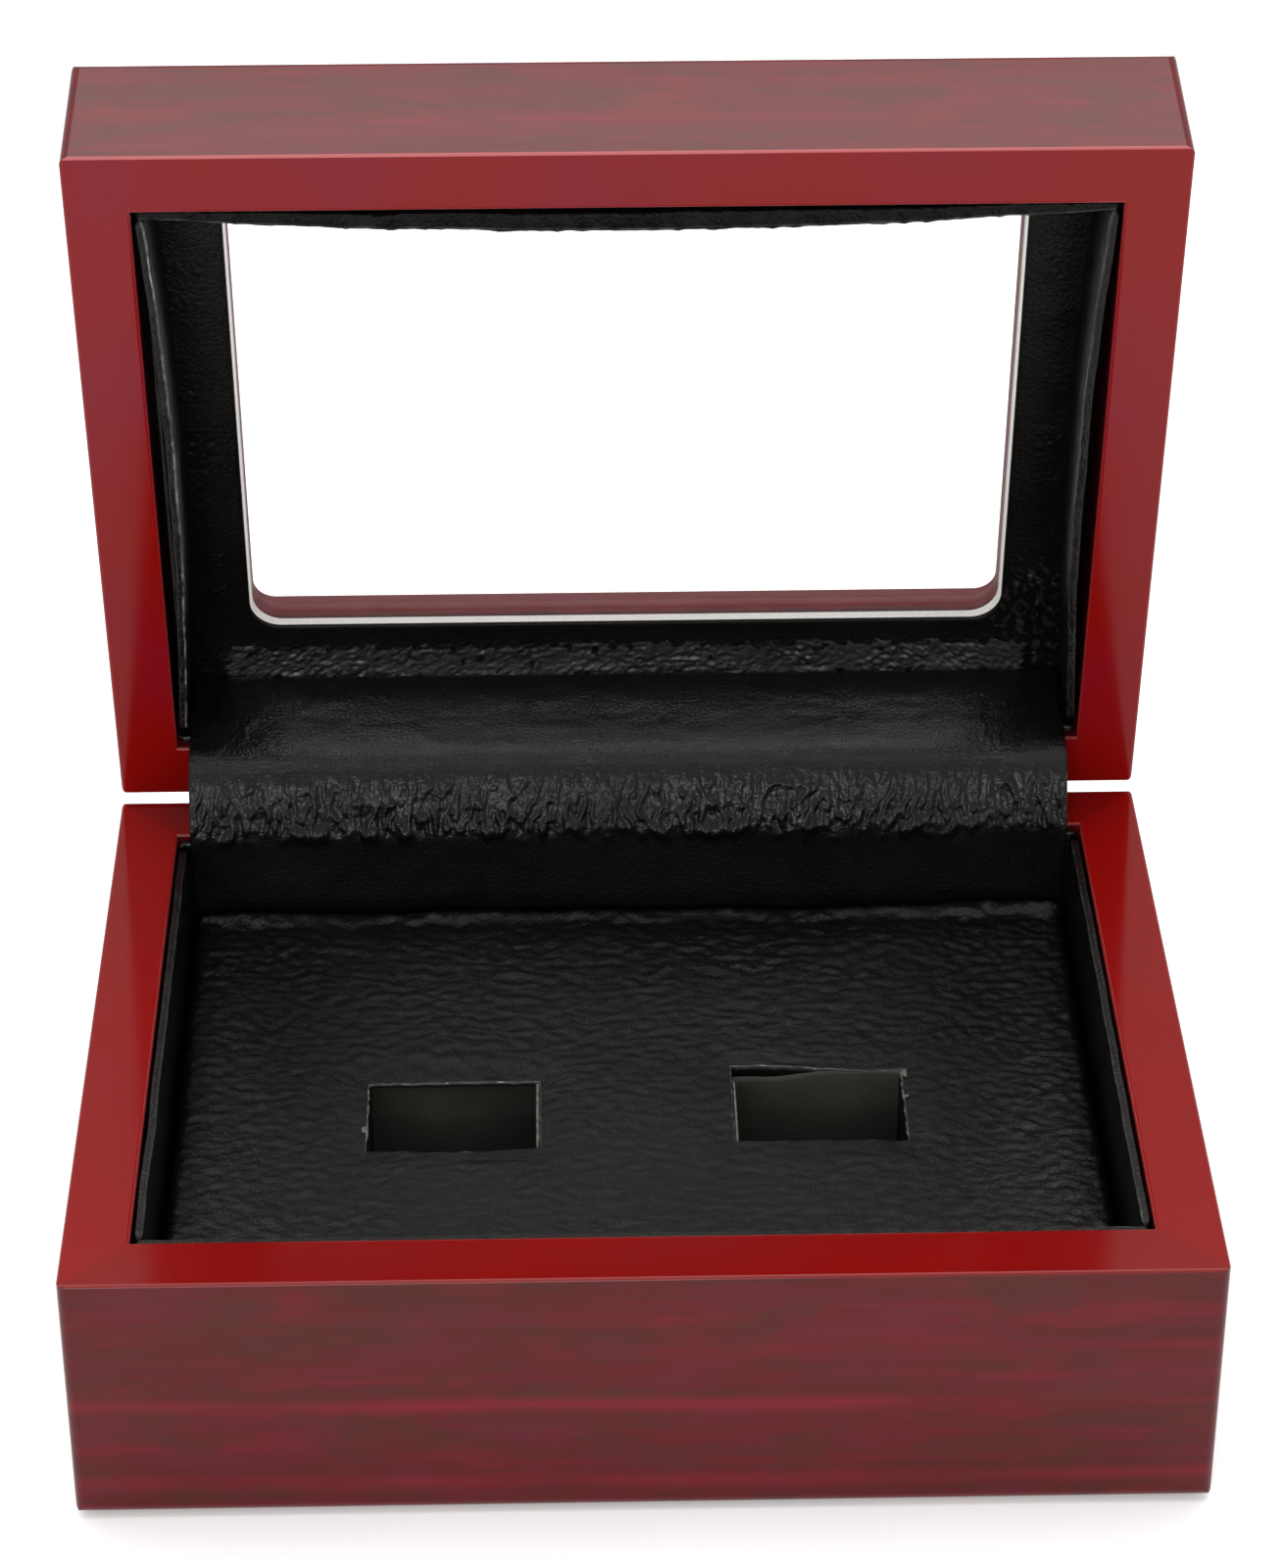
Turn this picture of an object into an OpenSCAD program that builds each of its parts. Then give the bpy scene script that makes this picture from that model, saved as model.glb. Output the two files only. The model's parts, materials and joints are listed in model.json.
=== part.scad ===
/* [Box] */
// Outside width of base and lid
box_w = 160; // [150:1:190]
// Outside depth of base and lid, front to back
box_d = 120; // [112:1:150]
// Height of the base from the table to its rim
base_h = 42; // [39:0.5:55]
// Height of the lid from its rim to its outer face
lid_h = 24.6; // [22:0.2:32]
// Thickness of the wooden walls
wall = 9.4; // [8:0.1:12]
// Gap that the hinges leave between the two rims when the lid is shut
rim_gap = 0.4; // [0.2:0.1:0.8]
// Angle that the lid is opened to, from shut
lid_open = 81; // [60:1:95]
// Radius of the upright outer edges
corner_r = 1.4; // [0.5:0.1:2.5]
// Radius of the lower outer edge of the base
foot_r = 1.9; // [0.5:0.1:2.5]
// Radius of the outer edge round the lid's face
crown_r = 1.5; // [0.5:0.1:3]
// Radius of the small arris along each rim
arris_r = 0.5; // [0.2:0.1:0.8]

/* [Floor and felt] */
// Thickness of the board that closes the base
floor_t = 3.5; // [2.5:0.1:5]
// Thickness of the felt under the base
felt_t = 0.6; // [0.4:0.1:1.2]
// Distance from the felt's edge to the outside of the base
felt_inset = 2.5; // [2:0.5:6]

/* [Window] */
// Width of the panel's rails beside the window
side_rail = 11.6; // [6:0.2:25]
// Width of the panel's rail at the hinges
back_rail = 11.1; // [6:0.1:25]
// Width of the panel's rail at the front
front_rail = 7; // [6:0.1:20]
// Corner radius of the window
window_r = 3.5; // [2:0.5:10]
// Thickness of the wooden panel round the window
panel_t = 7.5; // [6:0.1:9]
// Thickness of the clear pane
pane_t = 1.8; // [1.2:0.1:2.4]
// How far the pane reaches past the window on each side
pane_lap = 4; // [2:0.5:5]
// Room round the pane in its rebate
pane_room = 0.3; // [0.1:0.1:0.6]
// How far the liner stands proud of the window's edge
liner_lip = 0.3; // [0:0.1:0.8]
// How far it stands proud of the window's edge at the hinges
liner_back_lip = 1; // [0:0.1:1.5]
// Corner radius of the liner's opening
liner_r = 4.7; // [1.5:0.1:10]
// Thickness of the liner's white card
card_t = 1.5; // [0.8:0.1:2]
// Thickness of the leatherette on that card
skin_t = 0.5; // [0.3:0.1:0.8]

/* [Linings] */
// Thickness of a leatherette covered lining strip
lining_t = 1.3; // [0.8:0.1:2]
// Glue gap between a strip and the wood behind it
lining_gap = 0.3; // [0.2:0.1:0.6]
// How far the strips stop short of the rims
lining_drop = 0.8; // [0.4:0.1:2]
// How far the lid's side strips bow away from the wood
side_bow = 1.7; // [0:0.1:2.5]
// How far the lid's front strip bows away from the wood
front_bow = 2.9; // [0:0.1:4]

/* [Ring insert] */
// Height of the insert at its edges
insert_h = 24; // [20:0.5:28]
// Rise of the insert's crown above its edges
crown_h = 1.4; // [0:0.1:3]
// Radius of the insert's rolled upper edge
roll_r = 2; // [1:0.1:4]
// Draw-in of the insert's sides between its corners
draw_in = 0.5; // [0:0.1:1]
// Room between the insert and the linings
insert_room = 0.5; // [0.3:0.1:1]
// Thickness of the insert's leatherette cover
cover_t = 0.8; // [0.5:0.1:1.2]
// Thickness of the board under the foam
board_t = 1.5; // [1:0.1:3]
// Length of a ring slot, side to side
slot_w = 25.5; // [20:0.5:32]
// Breadth of a ring slot, front to back
slot_d = 17.6; // [10:0.2:22]
// Depth of a ring slot below the insert's edges
slot_depth = 17; // [12:0.5:17.5]
// Distance between the centres of the two slots
slot_pitch = 54.4; // [44:0.2:64]
// Distance from the box's middle forward to the slots' centres
slot_forward = 4.5; // [-6:0.5:10]
// Thickness of the flocked slot linings
flock_t = 0.8; // [0.5:0.1:1.2]
// How far the slot linings' edges lie below the cover's face
flock_sink = 0.3; // [0.2:0.1:1]

/* [Hinge flap] */
// Thickness of the leatherette flap over the hinge line
flap_t = 0.6; // [0.4:0.1:0.8]
// Gap between the flap's tabs and the linings that they lie on
flap_gap = 0.3; // [0.2:0.1:0.5]
// Room between the flap's ends and the side walls
flap_side_room = 1.1; // [0.5:0.1:3]
// How far the flap's lower tab goes down behind the insert
flap_tuck = 3; // [1:0.5:8]
// How straight up the flap leaves the base's rim
flap_rise = 3.5; // [2:0.5:7]
// How far the flap bulges out of the lid before it turns down
flap_bulge = 8; // [2:0.5:9]
// Height of the puckers across the flap
pucker_h = 0.35; // [0:0.05:0.5]

/* [Hinges] */
// Distance from the box's side in to the middle of a hinge
hinge_inset = 35; // [26:1:50]
// Length of a hinge along its pin
hinge_w = 22; // [19:0.5:28]
// Width of a leaf from the pin's axis to its edge
leaf_d = 8; // [7.6:0.1:9]
// Thickness of a leaf
leaf_t = 0.8; // [0.6:0.1:1]
// Distance of the pin's axis behind the back of the box
hinge_out = 0.8; // [0.6:0.1:1.2]
// Outer radius of the knuckles
knuckle_r = 1.5; // [1.4:0.05:1.8]
// Radius of the hinge pin
pin_r = 0.6; // [0.5:0.05:0.7]
// Radius of the pin's peened heads
pin_head_r = 1; // [0.9:0.05:1.2]
// Length of each peened head
pin_head_l = 0.5; // [0.3:0.1:0.8]
// Distance between a leaf's two screws
screw_pitch = 13; // [10:0.5:14]
// Radius of a screw's shank
screw_r = 0.8; // [0.6:0.05:1]
// Radius of a screw's countersunk head
screw_head_r = 1.5; // [1.3:0.05:1.7]
// Length of a screw
screw_l = 7; // [5:0.5:8]

/* [Hidden] */
$fn = 48;

// Colours as the photograph shows them
wood_red = [0.52, 0.12, 0.13];
leather_black = [0.09, 0.09, 0.09];
felt_black = [0.05, 0.05, 0.06];
flock_grey = [0.16, 0.16, 0.15];
card_white = [0.88, 0.85, 0.83];
foam_grey = [0.35, 0.35, 0.36];
board_grey = [0.55, 0.53, 0.5];
pane_clear = [0.8, 0.9, 0.95, 0.3];
brass = [0.75, 0.6, 0.3];
steel = [0.65, 0.65, 0.67];

// Small clearances and the overshoot of every cutter
over = 1;
hair = 0.1;
knuckle_room = 0.15;
notch_room = 0.3;
bore_room = 0.05;
mortise_room = 0.1;
pilot_room = 0.02;
head_room = 0.3;

// The hollow between the walls
inner_w = box_w - 2 * wall;
inner_d = box_d - 2 * wall;

// The window, and how far its middle lies in front of the box's
window_w = inner_w - 2 * side_rail;
window_d = inner_d - back_rail - front_rail;
window_forward = (back_rail - front_rail) / 2;

// Heights, with the lid shut
floor_top = felt_t + floor_t;
lid_rim = base_h + rim_gap;
lid_top = lid_rim + lid_h;
panel_under = lid_top - panel_t;
card_under = panel_under - card_t;
skin_under = card_under - skin_t;

// The hinge axis, which runs along X
axis_y = box_d / 2 + hinge_out;
axis_z = base_h + rim_gap / 2;

// Inner faces of the linings, and of the flap's tabs at the back
lining_in = lining_gap + lining_t;
side_face = inner_w / 2 - lining_in;
front_face = inner_d / 2 - lining_in;
tab_face = front_face - flap_gap - flap_t;

// The insert's outline and heights
insert_x = side_face - insert_room;
insert_front = -front_face + insert_room;
insert_back = tab_face - insert_room;
insert_top = floor_top + insert_h;
slot_floor = insert_top - slot_depth;
// The flocked linings stop just below the cover's face, where its crown is lowest round them
flock_reach = [slot_pitch / 2 + slot_w / 2 + flock_t, abs(slot_forward) + slot_d / 2 + flock_t];
flock_top = insert_top - flock_sink
    + crown_h * crown(flock_reach[0], insert_x) * crown(flock_reach[1], -insert_front);

// Places of the slots and the hinges
slot_x = [-slot_pitch / 2, slot_pitch / 2];
hinge_x = [-box_w / 2 + hinge_inset, box_w / 2 - hinge_inset];
knuckle_w = hinge_w / 3;

// A rectangle with true round corners, centred
module round_rect(w, d, r) {
    square([w - 2 * r, d], center = true);
    square([w, d - 2 * r], center = true);
    for (x = [-1, 1], y = [-1, 1])
        translate([x * (w / 2 - r), y * (d / 2 - r)]) circle(r);
}

// The waste outside a quarter circle, at the corner of a section
module round_waste(r) {
    difference() {
        translate([-over, -over]) square([r + over, r + over]);
        translate([r, r]) circle(r);
    }
}

// A wall's section: outer face at 0, rim at the top
module wall_section(h, r_far, r_rim) {
    difference() {
        square([wall, h]);
        round_waste(r_far);
        translate([0, h]) mirror([0, 1]) round_waste(r_rim);
        translate([wall, h]) mirror([1, 0]) mirror([0, 1]) round_waste(r_rim);
    }
}

// One mitred wall on the -Y side of a frame, standing on z = 0 with its rim up
module frame_wall(len, dep, h, r_far) {
    intersection() {
        translate([-len / 2, -dep / 2, 0])
            rotate([90, 0, 90]) linear_extrude(height = len) wall_section(h, r_far, arris_r);
        linear_extrude(height = h) intersection() {
            round_rect(len, dep, corner_r);
            polygon([
                [-len / 2, -dep / 2], [len / 2, -dep / 2],
                [len / 2 - wall, -dep / 2 + wall], [-len / 2 + wall, -dep / 2 + wall]
            ]);
        }
    }
}

// The base's walls stand on the felt, and the lid's hang rim down from its top
module base_frame_wall(turn) {
    across = turn % 180 != 0;
    translate([0, 0, felt_t]) rotate(turn)
        frame_wall(across ? box_d : box_w, across ? box_w : box_d, base_h - felt_t, foot_r);
}
module lid_frame_wall(turn) {
    across = turn % 180 != 0;
    translate([0, 0, lid_top]) mirror([0, 0, 1]) rotate(turn)
        frame_wall(across ? box_d : box_w, across ? box_w : box_d, lid_h, crown_r);
}

// Opens what it holds about the hinge axis, from shut to the photographed angle
module opened() {
    translate([0, axis_y, axis_z]) rotate([-lid_open, 0, 0])
        translate([0, -axis_y, -axis_z]) children();
}

// A cylinder along X on the hinge axis, centred at x
module axis_rod(x, len, r) {
    translate([x - len / 2, axis_y, axis_z]) rotate([0, 90, 0]) cylinder(h = len, r = r);
}

// Puts what is made for the base's side of the joint on the lid's side
module across_joint() {
    translate([0, 0, 2 * axis_z]) mirror([0, 0, 1]) children();
}

// The places of one leaf's screws, from the middle of the hinge
screw_y = axis_y - leaf_d / 2 - knuckle_r / 2;
module at_screws(x) {
    for (side = [-1, 1])
        translate([x + side * screw_pitch / 2, screw_y, base_h]) children();
}

// What the hinges and their screws take out of the base's back wall
module hinge_waste() {
    for (x = hinge_x) {
        translate([x - hinge_w / 2 - mortise_room, axis_y - leaf_d - mortise_room, base_h - leaf_t])
            cube([hinge_w + 2 * mortise_room, leaf_d + over, leaf_t + over]);
        axis_rod(x, hinge_w + 2 * (pin_head_l + head_room), knuckle_r + notch_room);
        at_screws(x) translate([0, 0, -screw_l - hair])
            cylinder(h = screw_l + over, r = screw_r + pilot_room);
    }
}

module base_front_wall() {
    color(wood_red) base_frame_wall(0);
}
module base_right_wall() {
    color(wood_red) base_frame_wall(90);
}
module base_left_wall() {
    color(wood_red) base_frame_wall(-90);
}
module base_back_wall() {
    color(wood_red) difference() {
        base_frame_wall(180);
        hinge_waste();
    }
}

module base_floor() {
    color(wood_red) translate([-inner_w / 2, -inner_d / 2, felt_t])
        cube([inner_w, inner_d, floor_t]);
}

module base_felt() {
    color(felt_black) linear_extrude(height = felt_t)
        round_rect(box_w - 2 * felt_inset, box_d - 2 * felt_inset, corner_r);
}

// A strip along X whose face bows towards +Y in the middle, standing on z = 0
bow_steps = 16;
module bowed_strip(len, h, bow) {
    steps = bow > 0 ? bow_steps : 1;
    x = [for (i = [0:steps]) len * (i / steps - 0.5)];
    rise = [for (p = x) bow * (1 - pow(2 * p / len, 2))];
    back = [for (i = [0:steps]) [x[i], rise[i]]];
    face = [for (i = [steps:-1:0]) [x[i], rise[i] + lining_t]];
    linear_extrude(height = h) polygon(concat(back, face));
}

// The strips stand between the floor and the rim, the side ones between the other two
side_strip_l = front_face + tab_face - 2 * flap_gap;
side_strip_y = (tab_face - front_face) / 2;
end_strip_l = inner_w - 2 * lining_gap;

module base_strip(len, bow) {
    bowed_strip(len, base_h - lining_drop - floor_top, bow);
}
module base_lining_front() {
    color(leather_black) translate([0, -inner_d / 2 + lining_gap, floor_top]) base_strip(end_strip_l, 0);
}
module base_lining_back() {
    color(leather_black) translate([0, inner_d / 2 - lining_gap, floor_top]) rotate(180)
        base_strip(end_strip_l, 0);
}
module base_side_strip() {
    translate([-inner_w / 2 + lining_gap, side_strip_y, floor_top]) rotate(-90)
        base_strip(side_strip_l, 0);
}
module base_lining_left() {
    color(leather_black) base_side_strip();
}
module base_lining_right() {
    color(leather_black) mirror([1, 0, 0]) base_side_strip();
}

// The insert's crowned form, smaller all round by inset, from foot up
edge_steps = [0, 0.12, 0.35, 0.65, 1];
field_steps = 8;
function ramp(half, roll) = concat(
    [for (e = edge_steps) -half + roll * e],
    [for (i = [1:field_steps - 1]) (half - roll) * (2 * i / field_steps - 1)],
    [for (i = [len(edge_steps) - 1:-1:0]) half - roll * edge_steps[i]]
);
function fall(p, half, roll) =
    let (into = max(0, abs(p) - (half - roll)) / roll)
    roll * (1 - sqrt(max(0, 1 - into * into)));
function crown(p, half) = 1 - pow(p / half, 2);

module insert_form(inset, foot) {
    half_x = insert_x - inset;
    half_y = (insert_back - insert_front) / 2 - inset;
    mid_y = (insert_back + insert_front) / 2;
    xs = ramp(half_x, roll_r);
    ys = ramp(half_y, roll_r);
    nx = len(xs);
    ny = len(ys);
    // A point of the form at column i and row j, drawn in between the corners
    function spot(i, j, z) = [
        xs[i] * (1 - draw_in / half_x * crown(ys[j], half_y)),
        mid_y + ys[j] * (1 - draw_in / half_y * crown(xs[i], half_x)),
        z
    ];
    function top_z(i, j) = insert_top - inset
        + crown_h * crown(xs[i], half_x) * crown(ys[j], half_y)
        - max(fall(xs[i], half_x, roll_r), fall(ys[j], half_y, roll_r));
    top = [for (j = [0:ny - 1], i = [0:nx - 1]) spot(i, j, top_z(i, j))];
    low = [for (j = [0:ny - 1], i = [0:nx - 1]) spot(i, j, foot)];
    n = nx * ny;
    function at(i, j) = j * nx + i;
    rim = concat(
        [for (i = [0:nx - 2]) at(i, 0)],
        [for (j = [0:ny - 2]) at(nx - 1, j)],
        [for (i = [nx - 1:-1:1]) at(i, ny - 1)],
        [for (j = [ny - 1:-1:1]) at(0, j)]
    );
    m = len(rim);
    faces = concat(
        [for (j = [0:ny - 2], i = [0:nx - 2]) [at(i, j), at(i, j + 1), at(i + 1, j + 1)]],
        [for (j = [0:ny - 2], i = [0:nx - 2]) [at(i, j), at(i + 1, j + 1), at(i + 1, j)]],
        [for (k = [0:m - 1]) [rim[k], rim[(k + 1) % m], rim[(k + 1) % m] + n]],
        [for (k = [0:m - 1]) [rim[k], rim[(k + 1) % m] + n, rim[k] + n]],
        [for (j = [0:ny - 2], i = [0:nx - 2]) [at(i, j) + n, at(i + 1, j + 1) + n, at(i, j + 1) + n]],
        [for (j = [0:ny - 2], i = [0:nx - 2]) [at(i, j) + n, at(i + 1, j) + n, at(i + 1, j + 1) + n]]
    );
    polyhedron(points = concat(top, low), faces = faces, convexity = 4);
}

// A box for each slot, grown by what lines it, from low up through the crown
module slot_boxes(grow, low) {
    for (x = slot_x)
        translate([x - slot_w / 2 - grow, -slot_forward - slot_d / 2 - grow, low])
            cube([slot_w + 2 * grow, slot_d + 2 * grow, insert_top + crown_h + over - low]);
}

module insert_board() {
    grip = cover_t + draw_in + hair;
    color(board_grey)
        translate([-insert_x + grip, insert_front + grip, floor_top])
            cube([2 * (insert_x - grip), insert_back - insert_front - 2 * grip, board_t]);
}
module insert_foam() {
    color(foam_grey) difference() {
        insert_form(cover_t, floor_top + board_t);
        slot_boxes(flock_t, slot_floor - flock_t);
    }
}
module insert_cover() {
    color(leather_black) difference() {
        insert_form(0, floor_top);
        insert_form(cover_t, floor_top - over);
        slot_boxes(flock_t + hair, floor_top);
    }
}
module ring_slot_lining(x) {
    translate([x, -slot_forward, slot_floor]) difference() {
        translate([-slot_w / 2 - flock_t, -slot_d / 2 - flock_t, -flock_t])
            cube([slot_w + 2 * flock_t, slot_d + 2 * flock_t, flock_top - slot_floor + flock_t]);
        translate([-slot_w / 2, -slot_d / 2, 0]) cube([slot_w, slot_d, slot_depth + crown_h + over]);
    }
}
module ring_slot_lining_left() {
    color(flock_grey) ring_slot_lining(slot_x[0]);
}
module ring_slot_lining_right() {
    color(flock_grey) ring_slot_lining(slot_x[1]);
}

// One leaf on the base's side. Its own knuckles are listed by their place along the pin,
// from -1 to 1, and the places of the other leaf's knuckles are cleared.
module leaf(x, own, other) {
    difference() {
        union() {
            translate([x - hinge_w / 2, axis_y - leaf_d, base_h - leaf_t])
                cube([hinge_w, leaf_d, leaf_t]);
            for (k = own) axis_rod(x + k * knuckle_w, knuckle_w, knuckle_r);
        }
        for (k = other) axis_rod(x + k * knuckle_w, knuckle_w + 2 * knuckle_room, knuckle_r + knuckle_room);
        axis_rod(x, hinge_w + 2 * over, pin_r + bore_room);
        at_screws(x) screw_hole();
    }
}
// A countersunk hole through a leaf whose face is at z = 0, and the screw that fills it
module screw_hole() {
    rotate_extrude() polygon([
        [0, over], [screw_head_r + bore_room, over], [screw_head_r + bore_room, 0],
        [screw_r + bore_room, -leaf_t], [screw_r + bore_room, -leaf_t - over], [0, -leaf_t - over]
    ]);
}
module screw() {
    rotate_extrude() polygon([
        [0, -hair], [screw_head_r - hair, -hair], [screw_r, -leaf_t],
        [screw_r, -screw_l + 2 * screw_r], [0, -screw_l]
    ]);
}
module hinge_pin(x) {
    axis_rod(x, hinge_w, pin_r);
    for (side = [-1, 1])
        axis_rod(x + side * (hinge_w + pin_head_l) / 2, pin_head_l, pin_head_r);
}
module hinge_base_leaf_left() {
    color(brass) leaf(hinge_x[0], [-1, 1], [0]);
}
module hinge_base_leaf_right() {
    color(brass) leaf(hinge_x[1], [-1, 1], [0]);
}
module hinge_pin_left() {
    color(steel) hinge_pin(hinge_x[0]);
}
module hinge_pin_right() {
    color(steel) hinge_pin(hinge_x[1]);
}
module hinge_base_screws() {
    color(steel) for (x = hinge_x) at_screws(x) screw();
}
module hinge_lid_leaf_left() {
    color(brass) opened() across_joint() leaf(hinge_x[0], [0], [-1, 1]);
}
module hinge_lid_leaf_right() {
    color(brass) opened() across_joint() leaf(hinge_x[1], [0], [-1, 1]);
}
module hinge_lid_screws() {
    color(steel) opened() across_joint() for (x = hinge_x) at_screws(x) screw();
}

// The flap's middle line, seen from the side as [y, z]: a tab on the base, a free bulge over
// the joint, and a tab in the lid
function turned(p) = [
    axis_y + (p[0] - axis_y) * cos(lid_open) + (p[1] - axis_z) * sin(lid_open),
    axis_z - (p[0] - axis_y) * sin(lid_open) + (p[1] - axis_z) * cos(lid_open)
];
flap_y = tab_face + flap_t / 2;
flap_from = [flap_y, base_h];
flap_to = turned([flap_y, lid_rim]);
flap_from_pull = flap_from + [0, flap_rise];
flap_to_pull = turned([flap_y, lid_rim - flap_bulge]);
function bulge(t) = pow(1 - t, 3) * flap_from + 3 * t * pow(1 - t, 2) * flap_from_pull
    + 3 * t * t * (1 - t) * flap_to_pull + pow(t, 3) * flap_to;
free_steps = 10;
flap_line = concat(
    [[flap_y, insert_top - flap_tuck]],
    [for (i = [0:free_steps]) bulge(i / free_steps)],
    [turned([flap_y, skin_under - hair])]
);
// Across the free part the leatherette puckers in shallow upright waves
flap_columns = 44;
flap_w = inner_w - 2 * flap_side_room;
function pucker(x, row) =
    let (t = max(0, min(1, (row - 1) / free_steps)))
    pucker_h * sin(180 * t) * (0.6 * sin(x * 41) + 0.4 * sin(x * 23 + 50));
function flap_normal(k) =
    let (a = flap_line[max(0, k - 1)], b = flap_line[min(len(flap_line) - 1, k + 1)], d = b - a)
    [d[1], -d[0]] / norm(d);

module hinge_flap() {
    rows = len(flap_line);
    n = rows * (flap_columns + 1);
    function place(k, i, side) =
        let (x = flap_w * (i / flap_columns - 0.5),
             p = flap_line[k] + flap_normal(k) * (side * flap_t / 2 - pucker(x, k)))
        [x, p[0], p[1]];
    function at(k, i) = k * (flap_columns + 1) + i;
    points = [for (side = [-1, 1], k = [0:rows - 1], i = [0:flap_columns]) place(k, i, side)];
    c = flap_columns;
    edge = concat(
        [for (i = [0:c - 1]) at(0, i)], [for (k = [0:rows - 2]) at(k, c)],
        [for (i = [c:-1:1]) at(rows - 1, i)], [for (k = [rows - 1:-1:1]) at(k, 0)]
    );
    m = len(edge);
    color(leather_black) polyhedron(points = points, faces = concat(
        [for (k = [0:rows - 2], i = [0:c - 1]) [at(k, i), at(k, i + 1), at(k + 1, i + 1)]],
        [for (k = [0:rows - 2], i = [0:c - 1]) [at(k, i), at(k + 1, i + 1), at(k + 1, i)]],
        [for (k = [0:rows - 2], i = [0:c - 1]) [at(k, i) + n, at(k + 1, i + 1) + n, at(k, i + 1) + n]],
        [for (k = [0:rows - 2], i = [0:c - 1]) [at(k, i) + n, at(k + 1, i) + n, at(k + 1, i + 1) + n]],
        [for (e = [0:m - 1]) [edge[e], edge[e] + n, edge[(e + 1) % m] + n]],
        [for (e = [0:m - 1]) [edge[e], edge[(e + 1) % m] + n, edge[(e + 1) % m]]]
    ), convexity = 6);
}

module lid_front_wall() {
    color(wood_red) opened() lid_frame_wall(0);
}
module lid_right_wall() {
    color(wood_red) opened() lid_frame_wall(90);
}
module lid_left_wall() {
    color(wood_red) opened() lid_frame_wall(-90);
}
module lid_back_wall() {
    color(wood_red) opened() difference() {
        lid_frame_wall(180);
        across_joint() hinge_waste();
    }
}

// The panel fills the frame's top, with the window through it and a rebate for the pane
module lid_top_panel() {
    rebate = 2 * (pane_lap + pane_room);
    color(wood_red) opened() difference() {
        translate([-inner_w / 2, -inner_d / 2, panel_under]) cube([inner_w, inner_d, panel_t]);
        translate([0, -window_forward, panel_under - over])
            linear_extrude(height = panel_t + 2 * over) round_rect(window_w, window_d, window_r);
        translate([-(window_w + rebate) / 2, -window_forward - (window_d + rebate) / 2, panel_under - over])
            cube([window_w + rebate, window_d + rebate, over + pane_t + hair]);
    }
}
module window_pane() {
    w = window_w + 2 * pane_lap;
    d = window_d + 2 * pane_lap;
    color(pane_clear) opened() translate([-w / 2, -window_forward - d / 2, panel_under])
        cube([w, d, pane_t]);
}
// A sheet with the window's opening in it, which fills the lid from wall to wall
module liner_sheet(low, t) {
    opening_w = window_w - 2 * liner_lip;
    opening_d = window_d - liner_lip - liner_back_lip;
    forward = window_forward + (liner_back_lip - liner_lip) / 2;
    difference() {
        translate([-inner_w / 2 + hair, -inner_d / 2 + hair, low])
            cube([inner_w - 2 * hair, inner_d - 2 * hair, t]);
        translate([0, -forward, low - over]) linear_extrude(height = t + 2 * over)
            round_rect(opening_w, opening_d, liner_r);
    }
}
module window_liner_card() {
    color(card_white) opened() liner_sheet(card_under, card_t);
}
module window_liner_skin() {
    color(leather_black) opened() liner_sheet(skin_under, skin_t);
}

// The lid's strips hang between its rim and the liner
lid_strip_low = lid_rim + lining_drop;
module lid_strip(len, bow) {
    bowed_strip(len, skin_under - hair - lid_strip_low, bow);
}
module lid_lining_front() {
    color(leather_black) opened()
        translate([0, -inner_d / 2 + lining_gap, lid_strip_low]) lid_strip(end_strip_l, front_bow);
}
module lid_lining_back() {
    color(leather_black) opened()
        translate([0, inner_d / 2 - lining_gap, lid_strip_low]) rotate(180) lid_strip(end_strip_l, 0);
}
module lid_side_strip() {
    translate([-inner_w / 2 + lining_gap, side_strip_y, lid_strip_low]) rotate(-90)
        lid_strip(side_strip_l, side_bow);
}
module lid_lining_left() {
    color(leather_black) opened() lid_side_strip();
}
module lid_lining_right() {
    color(leather_black) opened() mirror([1, 0, 0]) lid_side_strip();
}

base_front_wall();
base_back_wall();
base_left_wall();
base_right_wall();
base_floor();
base_felt();
base_lining_front();
base_lining_back();
base_lining_left();
base_lining_right();
insert_board();
insert_foam();
insert_cover();
ring_slot_lining_left();
ring_slot_lining_right();
hinge_base_leaf_left();
hinge_base_leaf_right();
hinge_pin_left();
hinge_pin_right();
hinge_base_screws();
hinge_flap();
lid_front_wall();
lid_back_wall();
lid_left_wall();
lid_right_wall();
lid_top_panel();
window_pane();
window_liner_card();
window_liner_skin();
lid_lining_front();
lid_lining_back();
lid_lining_left();
lid_lining_right();
hinge_lid_leaf_left();
hinge_lid_leaf_right();
hinge_lid_screws();
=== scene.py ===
# %% [markdown]
# # A ring display box, dressed over its CAD frame
# The box is a small lacquered wooden case with a windowed lid. Its CAD model is already exact, so it stays
# where it is, and this script gives every surface its finish. The woodwork keeps its CAD meshes. The soft
# things, which CAD can only block out, are built again as fine meshes: the wrinkled cushion, the puckered
# flap over the hinges, the leatherette linings and the flocked ring slots.

# %% Load the frame
import json
import math

import bpy
import numpy as np
from mathutils import Matrix, Vector


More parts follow.
